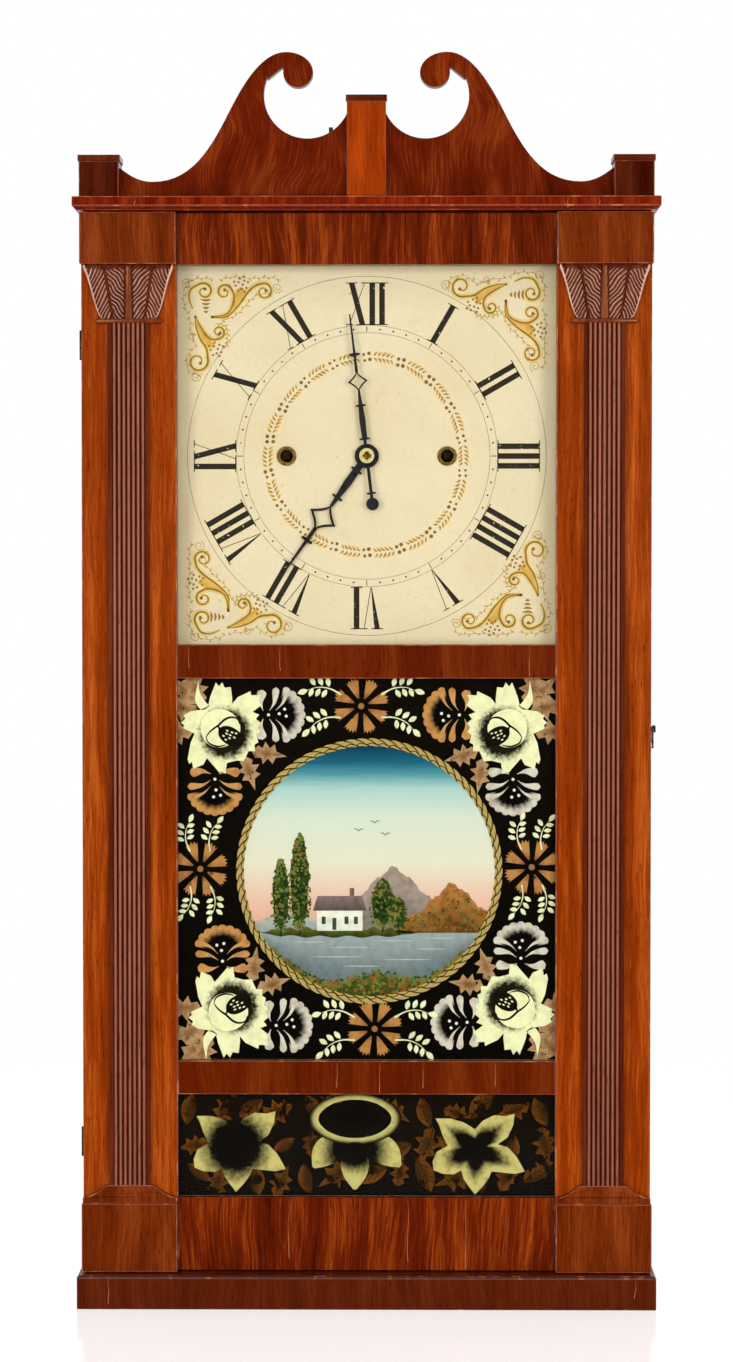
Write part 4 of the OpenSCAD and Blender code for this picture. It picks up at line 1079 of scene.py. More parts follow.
@dataclass
class Carving:
    """The reeded pilasters and their capitals: a feather with its midrib between two half feathers."""

    reeds: int = 7
    reed_w: float = 3.5
    reed_depth: float = 1.3
    fillet_w: float = 3.0
    fillet_set: float = 0.7
    low_half: float = 18.5
    top_half: float = 33.4
    low_proj: float = 3.0
    top_proj: float = 6.4
    split: float = 0.55
    rib_half: float = 2.2
    barb_mm: float = 3.9
    barb_depth: float = 1.6
    bead_h: float = 3.4
    bead_half: float = 24.5
    bead_deep: float = 6.0
    bead_round: float = 1.2
    bead_crest: float = 0.4
    fillet_crest: float = 0.42
    scallop: float = 2.6

    def face(self, columns: int, rows: int, place: Callable[[float, float], tuple[float, ...]],
             back: float) -> Piece:
        """Works a fine grid into a carved face and walls it in to the door behind it.

        Args:
            columns: faces across it.
            rows: faces up it.
            place: gives X, Y, Z and the crest for a U from -1 to 1 and a V from 0 to 1.
            back: where the door lies along Y.

        Returns:
            The closed piece.
        """
        piece = start_grid(columns, rows)
        crests = []
        for vertex in piece.data.vertices:
            *spot, crest = place(2 * vertex.co.x, vertex.co.y + 0.5)
            vertex.co = Vector(spot) * MM
            crests.append(crest)
        piece.data.attributes.new("crest", "FLOAT", "POINT").data.foreach_set("value", crests)

        def wall_in() -> None:
            """Draws the rim out into a wall."""
            bpy.ops.mesh.region_to_loop()
            bpy.ops.mesh.extrude_edges_move()

        edit(piece, wall_in)
        for vertex in piece.data.vertices:
            if vertex.select:
                vertex.co.y = back * MM

        def close() -> None:
            """Closes the back and turns every face outwards."""
            bpy.ops.mesh.select_all(action="DESELECT")
            bpy.ops.mesh.select_non_manifold()
            bpy.ops.mesh.edge_face_add()
            bpy.ops.mesh.select_all(action="SELECT")
            bpy.ops.mesh.normals_make_consistent(inside=False)

        edit(piece, close)
        return piece

    def pilaster(self) -> Piece:
        """Planes one pilaster: round reeds side by side between two low fillets.

        Returns:
            The pilaster, about its own middle.
        """
        low, high = box_mm("pilasters")
        reeded = self.reeds * self.reed_w
        half = reeded / 2 + self.fillet_w

        def place(u: float, v: float) -> tuple[float, ...]:
            """Sets a point on a reed or a fillet."""
            x, z = u * half, low.z + (high.z - low.z) * v
            spot = x / self.reed_w + self.reeds / 2
            if not 0 < spot < self.reeds:
                return x, low.y + self.fillet_set, z, self.fillet_crest
            # The crest value paints a highlight along each reed's crown and shade in its grooves
            bulge = sqrt(max(0.0, 1 - (2 * (spot % 1) - 1) ** 2))
            return x, low.y + self.reed_depth * (1 - bulge), z, bulge**3

        return self.face(150, 1, place, high.y)

    def relief(self, half: float, z: float, u: float, v: float) -> tuple[float, float]:
        """Gives how far the carving stands out from the door, and how much of a crest it is there.

        Args:
            half: half the capital's width at this height.
            z: height over the bead.
            u: the distance from the middle as a share of that half.
            v: the height as a share of the whole.

        Returns:
            The projection in millimetres, and the crest from 0 in a hollow to 1 on an edge.
        """
        body = self.low_proj + (self.top_proj - self.low_proj) * v**1.4
        off, x = abs(u), abs(u) * half
        wander = 0.2 * sin(0.3 * z + 0.2 * x) + 0.12 * sin(0.45 * u * half - 0.35 * z)
        if off < self.split:
            rib = self.rib_half * (1.25 - 0.5 * v) / half
            t = (off - rib) / (self.split - rib)
            phase = (z - 1.15 * x) / self.barb_mm + wander
        else:
            t = (off - self.split) / (1 - self.split)
            phase = (z + 2.0 * x) / (1.4 * self.barb_mm) + wander
            # A painted highlight along the outer edge of each half feather
            if t > 0.93:
                return body + 0.1, 0.85
        if t < 0:
            return body - 0.5, 0.45
        crown = 2.2 * sin(pi * min(max(t, 0.02), 0.98)) ** 0.7 - 1.9
        ridge = 1 - abs(2 * (phase % 1) - 1)
        # The feathers' borders get a low crest, painted shade, and the crest fades out at the top, a painted
        # shadow under the corner block
        crest = 0.25 if min(t, 1 - t) < 0.09 else ridge
        return body + crown + self.barb_depth * (ridge**1.2 - 0.55), crest * min(1.0, 9 * (1 - v))

    def capital(self) -> Piece:
        """Carves one capital with its bead.

        Returns:
            The capital, about its own middle.
        """
        low, high = box_mm("capitals")
        foot = low.z + self.bead_h

        def place(u: float, v: float) -> tuple[float, ...]:
            """Sets a point of the flared face, under its scalloped top."""
            half = self.low_half + (self.top_half - self.low_half) * (0.8 * v**0.5 + 0.2 * v**4)
            dip = 1 - abs(sin(pi * abs(u) / self.split)) ** 0.5 if abs(u) < 0.99 else 1.0
            z = v * (high.z - foot - self.scallop * dip)
            out, crest = self.relief(half, z, u, v)
            return u * half, high.y - out, foot + z, crest

        return join([self.face(132, 112, place, high.y), self.bead(low.z, high.y)])

    def bead(self, z: float, back: float) -> Piece:
        """Makes the rounded bead under a capital, between the carving and the reeds.

        Args:
            z: the height of its foot.
            back: where the door lies along Y.

        Returns:
            The bead.
        """
        bead = start_piece(bpy.ops.mesh.primitive_cube_add, size=1)
        for vertex in bead.data.vertices:
            x, y, up = vertex.co
            vertex.co = (2 * x * self.bead_half * MM, (back + (y - 0.5) * self.bead_deep) * MM,
                         (z + (up + 0.5) * self.bead_h) * MM)
        apply_modifier(bead, "BEVEL", width=self.bead_round * MM, segments=3)
        crest = bead.data.attributes.new("crest", "FLOAT", "POINT")
        crest.data.foreach_set("value", [self.bead_crest] * len(bead.data.vertices))
        return bead

    def build(self) -> None:
        """Makes both pilasters and both capitals and puts them in the place of the plain ones."""
        stile_low, stile_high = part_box("door_right_stile")
        middle = (stile_low.x + stile_high.x) / 2 / MM
        # crest is the painted highlight's colour, grime the colour of grime and painted shade in the hollows
        reed = RubbedMahogany("mahogany_reeding_dark", "#3C0E02", "#561A06", "#6E2A10", figure_mm=9.0,
                              gloss=0.22, shine=0.3, crest="#8C5E50", grime="#320A00")
        wood = RubbedMahogany("mahogany_carving_dark", "#4E1A0A", "#6E2C12", "#884422", figure_mm=9.0,
                              gloss=0.24, shine=0.7, crest="#D8B8A8", grime="#2E0E06")
        for master, name, finish, node in ((self.pilaster(), "reeded_pilasters", reed, "pilasters"),
                                           (self.capital(), "carved_capitals", wood, "capitals")):
            pair = join([stamp(master, side * middle) for side in (-1, 1)])
            scrap(master)
            make_active(pair)
            bpy.ops.object.shade_smooth_by_angle(angle=radians(50))
            add_piece(pair, name, Body.DOOR, finish.build(), [node])


@dataclass(frozen=True)
class Hand:
    """One hand, drawn from the dial's centre along its own length as half a width at each distance."""

    word: str
    body: Body
    at: float
    ends: Point
    bore: float
    bars: tuple[tuple[float, float, float, float], ...]
    crosses: tuple[tuple[float, float, float], ...]
    discs: tuple[Point, ...]
    diamond: tuple[float, float, float]
    line: float

    def spread(self, z: float, trim: float) -> float:
        """Gives half the width of the diamond, whose sides are hollow, less a trim all round."""
        middle, tall, wide = self.diamond
        return (wide / 2 - trim) * max(0.0, 1 - abs(z - middle) / (tall / 2 - trim)) ** 1.6

    def half(self, z: float) -> float:
        """Gives half the width of the hand.

        Args:
            z: the distance from the dial's centre.

        Returns:
            The widest of what lies there.
        """
        widths = [self.spread(z, 0.0)]
        widths += [(w0 + (w1 - w0) * (z - a) / (b - a)) / 2 for a, b, w0, w1 in self.bars if a <= z <= b]
        widths += [w / 2 + sqrt((t / 2) ** 2 - (z - at) ** 2) for at, w, t in self.crosses
                   if abs(z - at) < t / 2]
        widths += [sqrt(r**2 - (z - at) ** 2) for at, r in self.discs if abs(z - at) < r]
        return max(widths)

    def hole(self, z: float) -> float:
        """Gives half the width of the opening in the hand there."""
        return max(self.spread(z, 2 * self.line), sqrt(max(0.0, self.bore**2 - z**2)))

    def cut(self) -> Piece:
        """Draws the hand upright, as two halves that meet along its middle.

        Returns:
            The mark, about the dial's centre.
        """
        foot, tip = self.ends
        halves = []
        for side in (-1, 1):
            def place(u: float, v: float) -> Point:
                """Sets a point between the opening and the outer edge."""
                z = foot + (tip - foot) * u
                inner, outer = self.hole(z), self.half(z)
                return side * (inner + (outer - inner) * v), z

            halves.append(painted_grid(round(4 * (tip - foot)), 1, place))
        return join(halves)


@dataclass
class Hands:
    """The two hands: blued steel worn brown, with pierced diamonds and small cross bars."""

    pair: tuple[Hand, ...] = (
        Hand("minute", Body.MINUTE, -6.9, (-41.0, 106.0), 3.3,
             ((-36.0, 12.7, 2.4, 2.4), (12.7, 27.6, 3.8, 4.6), (27.6, 48.8, 4.6, 1.6),
              (62.6, 106.0, 2.2, 1.1)),
             ((12.7, 6.6, 1.5), (37.6, 6.4, 1.3), (75.8, 6.0, 1.9), (-28.1, 5.8, 1.4)),
             ((0.0, 5.6), (-36.2, 4.7)), (55.7, 16.8, 15.0), 1.0),
        Hand("hour", Body.HOUR, 215.5, (-9.0, 110.0), 5.1,
             ((0.0, 25.3, 4.8, 5.8), (25.3, 46.2, 5.8, 2.2), (66.0, 110.0, 3.0, 1.1)),
             ((13.2, 7.6, 1.8), (38.0, 7.4, 1.7), (77.0, 7.0, 2.4)),
             ((0.0, 9.0),), (56.6, 24.6, 23.2), 1.5))
    square: float = 5.1
    square_deep: float = 1.9
    square_proud: float = 0.05
    square_round: float = 0.5
    edge_round: float = 0.15

    def square_end(self, front: float, z: float) -> None:
        """Makes the turned square on the end of the arbor, which holds the minute hand on.

        Args:
            front: how far forward it reaches.
            z: the height of the arbor.
        """
        end = start_piece(bpy.ops.mesh.primitive_cube_add, size=MM, rotation=(0, radians(45), 0),
                          location=(0, front + self.square_deep / 2 * MM, z),
                          scale=(self.square, self.square_deep, self.square))
        bpy.ops.object.transform_apply()
        apply_modifier(end, "BEVEL", width=self.square_round * MM, segments=2)
        browned = Metal("brass_browned_end", "#9A7430", "#553A12", 2.0, (0.4, 0.6), 0.8)
        add_piece(end, "arbor_square_end", Body.MINUTE, browned.build())

    def build(self) -> None:
        """Cuts both hands and puts them in the place of the plain ones."""
        steel = Metal("steel_blued_worn", "#3C3C40", "#241E1A", 6.0, (0.3, 0.5)).build()
        low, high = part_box("minute_arbor")
        for hand in self.pair:
            front, back = [corner.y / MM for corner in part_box(f"{hand.word}_hand")]
            master = hand.cut()
            piece = paint_film([stamp(master, 0, dial_centre(), -hand.at)], front, back - front)
            scrap(master)
            apply_modifier(piece, "BEVEL", width=self.edge_round * MM, segments=1, angle_limit=radians(50))
            add_piece(piece, f"{hand.word}_hand_pierced", hand.body, steel,
                      [f"{hand.word}_hand"])
        self.square_end(low.y - self.square_proud * MM, (low.z + high.z) / 2)


@dataclass
class DialPainting:
    """What is painted on the dial: numerals, minute track, leaf ring and gilt scrolls in the corners."""

    inner_r: float = 98.0
    outer_r: float = 129.0
    thick: float = 4.2
    hair: float = 0.55
    glyph_w: float = 12.3
    glyph_gap: float = 3.1
    serif: float = 2.3
    serif_w: float = 0.75
    rim_r: float = 134.0
    track: tuple[float, float] = (92.0, 97.6)
    wreath_r: float = 73.0
    wreath_units: int = 18
    rim_line: float = 0.3
    track_line: float = 0.28
    hours: tuple[str, ...] = ("XII", "I", "II", "III", "IIII", "V", "VI", "VII", "VIII", "IX", "X", "XI")

    def __post_init__(self) -> None:
        """Takes the dial's face and centre from the frame."""
        self.centre_z = dial_centre()
        self.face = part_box("dial_board")[0].y / MM

    def slab(self, foot: float, head: float, foot_w: float, head_w: float) -> Piece:
        """Draws a stroke of a numeral with its ends level.

        Args:
            foot: where its middle is at the inner radius.
            head: where it is at the outer radius.
            foot_w: its width along the inner end.
            head_w: its width along the outer end.

        Returns:
            The mark, for the hour at the top.
        """
        def place(u: float, v: float) -> Point:
            """Sets a point across the stroke."""
            x = foot + (head - foot) * u + (0.5 - v) * (foot_w + (head_w - foot_w) * u)
            return x, self.inner_r + (self.outer_r - self.inner_r) * u

        return painted_grid(10, 1, place)

    def serif_line(self, x: float, radius: float, width: float) -> Piece:
        """Draws the hairline across the end of a stroke."""
        half = width / 2 + self.serif
        return stroke([(x - half, radius), (x + half, radius)], self.serif_w, steps=2)

    def glyph(self, letter: str, x: float) -> tuple[list[Piece], float]:
        """Draws one letter of a numeral.

        Args:
            letter: I, V or X.
            x: its left edge.

        Returns:
            The marks and the letter's width.
        """
        thick, hair, width = self.thick, self.hair, self.glyph_w
        if letter == "I":
            mid = x + thick / 2
            marks = [self.slab(mid, mid, thick, thick)]
            marks += [self.serif_line(mid, r, thick) for r in (self.inner_r, self.outer_r)]
            return marks, thick
        left, right = x + thick / 2, x + width - hair
        if letter == "V":
            point = x + 0.52 * width
            marks = [self.slab(point, left, 0.5, thick), self.slab(point + 0.4, right, hair, hair)]
            ends = [(left, self.outer_r, thick), (right, self.outer_r, hair)]
        else:
            foot = x + width - thick / 2
            marks = [self.slab(foot, left, thick, thick), self.slab(x + hair, right, hair, hair)]
            ends = [(left, self.outer_r, thick), (right, self.outer_r, hair),
                    (foot, self.inner_r, thick), (x + hair, self.inner_r, hair)]
        return marks + [self.serif_line(*end) for end in ends], width

    def numerals(self) -> list[Piece]:
        """Draws the twelve hours, each with its foot to the centre.

        Returns:
            One mark for each hour.
        """
        marks = []
        for hour, word in enumerate(self.hours):
            widths = [self.thick if letter == "I" else self.glyph_w for letter in word]
            x = -(sum(widths) + self.glyph_gap * (len(word) - 1)) / 2
            drawn: list[Piece] = []
            for letter in word:
                part, width = self.glyph(letter, x)
                drawn += part
                x += width + self.glyph_gap
            master = join(drawn)
            marks.append(stamp(master, 0, self.centre_z, -30 * hour))
            scrap(master)
        return marks

    def ring(self, radius: float, width: float) -> Piece:
        """Draws a fine circle about the dial's centre."""
        edge = radius + width / 2
        return shift(round_mark(lambda angle: edge, 240, 1, 1 - width / edge), 0, self.centre_z)

    def minute_track(self) -> list[Piece]:
        """Draws the rim line, the two circles, a dot for each minute and a tick for each hour.

        Returns:
            The marks.
        """
        marks = [self.ring(self.rim_r, self.rim_line)] + [self.ring(r, self.track_line) for r in self.track]
        point = round_mark(lambda angle: 0.75, 8, 1)
        tick = stroke([(0, -2.1), (0, 2.1)], 0.6, steps=2)
        mid = sum(self.track) / 2
        for minute in range(60):
            angle = radians(6 * minute)
            x, z = mid * sin(angle), self.centre_z + mid * cos(angle)
            marks.append(stamp(point if minute % 5 else tick, x, z, -6 * minute))
        scrap(point, tick)
        return marks

    def wreath(self) -> tuple[list[Piece], list[Piece]]:
        """Paints the ring of leaf sprigs and the four berries between them.

        Returns:
            The leaves and the berries.
        """
        leaf = stroke(smooth([(0.2, 0), (2.8, 0.6), (5.4, 0)], 3), 2.0, Taper.LEAF, steps=6)
        berry = round_mark(lambda angle: 1.4, 9, 1)
        leaves, berries = [], []
        pitch = 360 / self.wreath_units

        def put(mark: Piece, turn: float, off: float, spin: float, size: float) -> Piece:
            """Copies a mark to its place round the ring, which isn't quite round."""
            angle = radians(turn)
            reach = self.wreath_r + off + 1.3 * sin(3 * angle + 0.8)
            return stamp(mark, reach * sin(angle), self.centre_z + reach * cos(angle),
                         spin - turn, size)

        for unit in range(self.wreath_units):
            for step, off in ((-0.09, 1.9), (0.06, 2.6), (-0.06, -2.6), (0.09, -1.9)):
                size = 0.9 + 0.2 * sin(unit + 9 * step)
                berries.append(put(berry, pitch * (unit + step), off, 0, size))
            for k in range(5):
                turn = pitch * (unit + 0.2 + 0.12 * k)
                leaves += [put(leaf, turn, 0.5 * side, side * 50, 0.72 + 0.2 * sin(0.6 * k + 0.5))
                           for side in (-1, 1)]
        scrap(leaf, berry)
        return leaves, berries

    def spandrel(self) -> tuple[list[Piece], ...]:
        """Paints the scrolls of the top left corner about the dial's centre.

        Returns:
            The gold fills, the brown outlines, the faint tendrils and the pale washes under the scrolls.
        """
        root, fork = (-116.4, 103.7), (-128.2, 104.6)
        c_stem = [(-129.9, 110.1), (-132.7, 117.5), (-131.2, 124.4), (-124.8, 128.3)]
        hook_stem = [root, (-105.1, 105.7), (-100.2, 112.6), (-99.2, 120.4), (-102.2, 126.3)]
        s_stem = [root, (-105.1, 103.7), (-96.3, 111.6), (-88.4, 122.4), (-82.5, 127.3), (-75.6, 128.8)]
        drop_stem = [fork, (-127.7, 96.9), (-124.8, 88.0), (-119.9, 80.1), (-118.9, 73.3)]
        side_stem = [fork, (-124.3, 96.9), (-118.9, 89.0), (-114.0, 86.8), (-109.1, 88.0)]
        scrolls = [(c_stem, (-121.5, 122.8), -1.15), (hook_stem, (-106.4, 122.2), 1.1),
                   (s_stem, (-76.9, 122.6), -1.15), (drop_stem, (-126.4, 70.6), -1.15),
                   (side_stem, (-110.9, 92.6), 1.1)]
        lines, washes = [], []
        for stem, eye, turns in scrolls:
            path = smooth(stem) + curl(stem[-1], eye, turns)
            lines += [stroke(path, 1.6, Taper.SWELL, steps=56), dot(*path[-1], 1.3)]
            washes.append(stroke(path, 5.0, Taper.SWELL, steps=56))
        fills = [fill_between(smooth(s_stem[:4]), smooth(hook_stem[:4] + [(-94.5, 126.5)])),
                 fill_between(smooth(drop_stem[:4]), smooth(side_stem[:3] + [(-112.5, 82.0)]))]
        for (x, z), count in (((-93.8, 127.8), 12), ((-112.5, 80.0), 11)):
            for k in range(count):
                reach = 1.2 + 1.5 * sqrt(k)
                lines.append(dot(x + reach * cos(2.4 * k), z + reach * sin(2.4 * k), 0.95))
        for k in range(4):
            x, z, half = -120.2, 116.4 - 2.9 * k, 4.2 - 0.85 * k
            bar = smooth([(x - half, z + 0.5), (x, z - 0.3), (x + half, z + 0.5)], 4)
            lines.append(stroke(bar, 1.7, Taper.LEAF, steps=8))
        faint = [stroke(curl((x + r, z), (x, z), turns, 0.2), 0.6, steps=40) for x, z, r, turns in (
            (-134.6, 128.3, 4.3, 1.6), (-66.8, 125.4, 4.2, -1.6), (-130.7, 89.0, 3.4, 1.4),
            (-127.7, 59.5, 4.0, -1.5))]
        for guide in ([(-108, 101), (-98, 105), (-90, 113), (-82, 120), (-70, 121.5)],
                      [(-110, 131.5), (-98, 133.5), (-86, 132.5), (-72, 133), (-64, 131)],
                      [(-134, 106), (-137, 116), (-135.5, 126), (-129, 132), (-114, 132)],
                      [(-132.5, 104), (-131.5, 92), (-128, 82), (-134.5, 74), (-132, 62), (-122, 61)],
                      [(-112, 99), (-105, 96), (-104, 88), (-106, 80)]):
            faint += self.fringe(guide)
        return fills, lines, faint, washes

    def fringe(self, guide: Sequence[Point]) -> list[Piece]:
        """Paints small comma strokes on both sides of a guide line.

        Args:
            guide: points along the line.

        Returns:
            The strokes and the line.
        """
        path = even_points(smooth(guide), 13)
        marks = []
        for k, (a, b) in enumerate(zip(path, path[1:])):
            heading = atan2(b[1] - a[1], b[0] - a[0]) + (0.8 if k % 2 else -0.8)
            reach = 3.0 + 0.8 * sin(2.3 * k)
            tip = (a[0] + reach * cos(heading), a[1] + reach * sin(heading))
            middle = ((a[0] + tip[0]) / 2 + 0.5, (a[1] + tip[1]) / 2)
            marks.append(stroke(smooth([a, middle, tip], 3), 0.95, Taper.LEAF, steps=6))
        return marks + [stroke(path, 0.4, steps=26)]

    def scrolls(self) -> list[list[Piece]]:
        """Turns the painted corner to all four corners.

        Returns:
            The fills, outlines, tendrils and washes of all corners.
        """
        layers = []
        for masters in self.spandrel():
            master = join(masters)
            layers.append([stamp(master, 0, self.centre_z, -90 * corner) for corner in range(4)])
            scrap(master)
        return layers

    def build(self) -> None:
        """Paints the dial board and every mark on it."""
        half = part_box("dial_glass")[1].x / MM - GLASS_LAP
        # The fourth colour is the painted shade at the sides of the door's opening
        enamel = DialEnamel("dial_white_lead_cream", "#E0D0B4", "#D8C29E", "#AC9C78", half)
        dress("dial_board", enamel.build())
        leaves, berries = self.wreath()
        fills, lines, faint, washes = self.scrolls()
        films = (
            (self.minute_track(), "dial_minute_track", 1,
             Paint("dial_ink_fine_lines", "#4A4030", "#4A4030", loss=0.06, mottle=0.6)),
            (self.numerals(), "dial_numerals", 1,
             Paint("dial_numeral_black", "#2A2118", "#241C14", loss=0.035, ground="#E4D6B0", chip_mm=2.6,
                   mottle=0.2, shine=0.2)),
            (leaves, "dial_wreath_leaves", 1,
             Paint("wreath_gold_leaves", "#A87C28", "#D4A850", (0.2, 0.8), along=True, mottle=0.6)),
            (berries, "dial_wreath_berries", 2,
             Paint("wreath_brown_berries", "#7A5A28", "#8E6C32", mottle=0.5)),
            (washes, "dial_scroll_washes", 1,
             Paint("scroll_pale_wash", "#E6CE94", "#DFC284", (0.2, 0.8), mottle=0.3)),
            (faint, "dial_scroll_tendrils", 2,
             Paint("scroll_faint_tendrils", "#BE9E58", "#B08E46", mottle=0.4)),
            (fills, "dial_scroll_fills", 3,
             Paint("scroll_gold_fill", "#DDB566", "#CFA04A", mottle=0.4)),
            (lines, "dial_scroll_outlines", 4,
             Paint("scroll_brown_outline", "#A27C3A", "#946C2E", mottle=0.5)))
        for marks, name, layer, finish in films:
            film = paint_film(marks, self.face - layer * FILM_T)
            add_piece(film, name, Body.CASE, finish.build())


@dataclass
class PaintedGlass:
    """Tools shared by the two glasses that are painted on the back."""

    pane: str
    lap: float = GLASS_LAP
    layer: float = 0.04
    gap: float = 0.01

    def __post_init__(self) -> None:
        """Takes the pane's opening and the depth of its back from the frame."""
        low, high = box_mm(self.pane)
        self.half_w = high.x - self.lap
        self.half_h = (high.z - low.z) / 2 - self.lap
        self.centre_z = (high.z + low.z) / 2
        self.back = high.y

    def put(self, master: Piece, x: float, z: float, turn: float = 0.0, size: float = 1.0,
            mirrored: bool = False) -> Piece:
        """Copies a mark to a place that is measured from the middle of the pane, as stamp does."""
        return stamp(master, x, self.centre_z + z, turn, size, mirrored)

    def lay(self, marks: Sequence[Piece], name: str, layer: int, finish: Finish) -> None:
        """Lays marks on the back of the pane.

        Args:
            marks: what is painted.
            name: the film's name.
            layer: how many layers lie between it and the glass.
            finish: its paint.
        """
        film = paint_film(marks, self.back + self.gap + self.layer * layer)
        add_piece(film, name, Body.DOOR, finish.build())

    def ground(self, name: str, layer: int, finish: Paint) -> None:
        """Lays the dark ground over the whole opening and a little past it.

        Args:
            name: the film's name.
            layer: how many layers lie between it and the glass.
            finish: its paint.
        """
        wide, high = self.half_w + self.lap / 2, self.half_h + self.lap / 2

        def place(u: float, v: float) -> Point:
            """Sets a point of the opening."""
            return (2 * u - 1) * wide, self.centre_z + (2 * v - 1) * high

        self.lay([painted_grid(12, 12, place)], name, layer, finish)


ROSE_EDGE: tuple[Point, ...] = (
    (-10.6, 19.1), (-9.5, 24.1), (-5.2, 35.2), (-3.0, 32.2), (-0.5, 35.2), (1.5, 31.2), (6.0, 31.7),
    (7.0, 23.1), (6.8, 19.1), (11.1, 24.1), (20.6, 28.6), (21.1, 25.6), (28.1, 25.9), (26.6, 22.1),
    (28.6, 18.1), (22.1, 13.1), (27.1, 11.1), (24.6, 8.0), (28.1, 5.0), (26.1, 1.5), (27.9, -1.5),
    (25.1, -4.0), (26.3, -9.5), (23.6, -11.1), (23.9, -16.1), (19.1, -16.1), (15.6, -23.6), (10.1, -23.1),
    (3.0, -24.9), (1.8, -33.0), (-0.5, -31.2), (-2.5, -32.2), (-6.0, -28.1), (-12.1, -21.1),
    (-14.6, -26.1), (-22.1, -29.3), (-23.1, -24.1), (-25.1, -25.6), (-26.3, -22.1), (-24.1, -10.1),
    (-21.1, -3.0), (-29.6, 1.0), (-28.6, 3.0), (-31.4, 5.2), (-28.1, 8.0), (-29.1, 10.6), (-24.1, 13.6),
    (-17.1, 14.6), (-11.6, 17.1))
STAR_EDGE: tuple[Point, ...] = (
    (-29.1, 22.4), (-18.2, 22.4), (-8.2, 19.5), (0.4, 14.4), (6.4, 20.9), (14.6, 24.9), (22.8, 24.2),
    (30.0, 26.0), (28.8, 17.3), (24.6, 8.2), (17.3, 3.1), (24.6, 0.9), (30.9, -5.5), (34.6, -11.8),
    (37.5, -17.3), (30.0, -19.1), (21.8, -18.2), (12.7, -17.3), (10.9, -21.8), (6.4, -28.2), (0.4, -34.6),
    (-4.6, -28.2), (-8.2, -22.8), (-10.0, -16.4), (-15.5, -19.5), (-23.7, -19.1), (-30.6, -16.4),
    (-31.3, -10.0), (-28.2, -2.7), (-20.0, 1.8), (-24.0, 10.0), (-26.4, 17.3))
LEAF_EDGE: tuple[Point, ...] = (
    (0.0, 0.0), (4.6, 5.4), (8.2, 3.6), (9.6, 9.4), (14.0, 4.6), (17.4, 8.6), (19.6, 3.0), (29.0, 0.6),
    (20.0, -2.2), (18.4, -7.4), (13.8, -3.6), (10.6, -9.0), (8.4, -3.8), (3.8, -5.2))


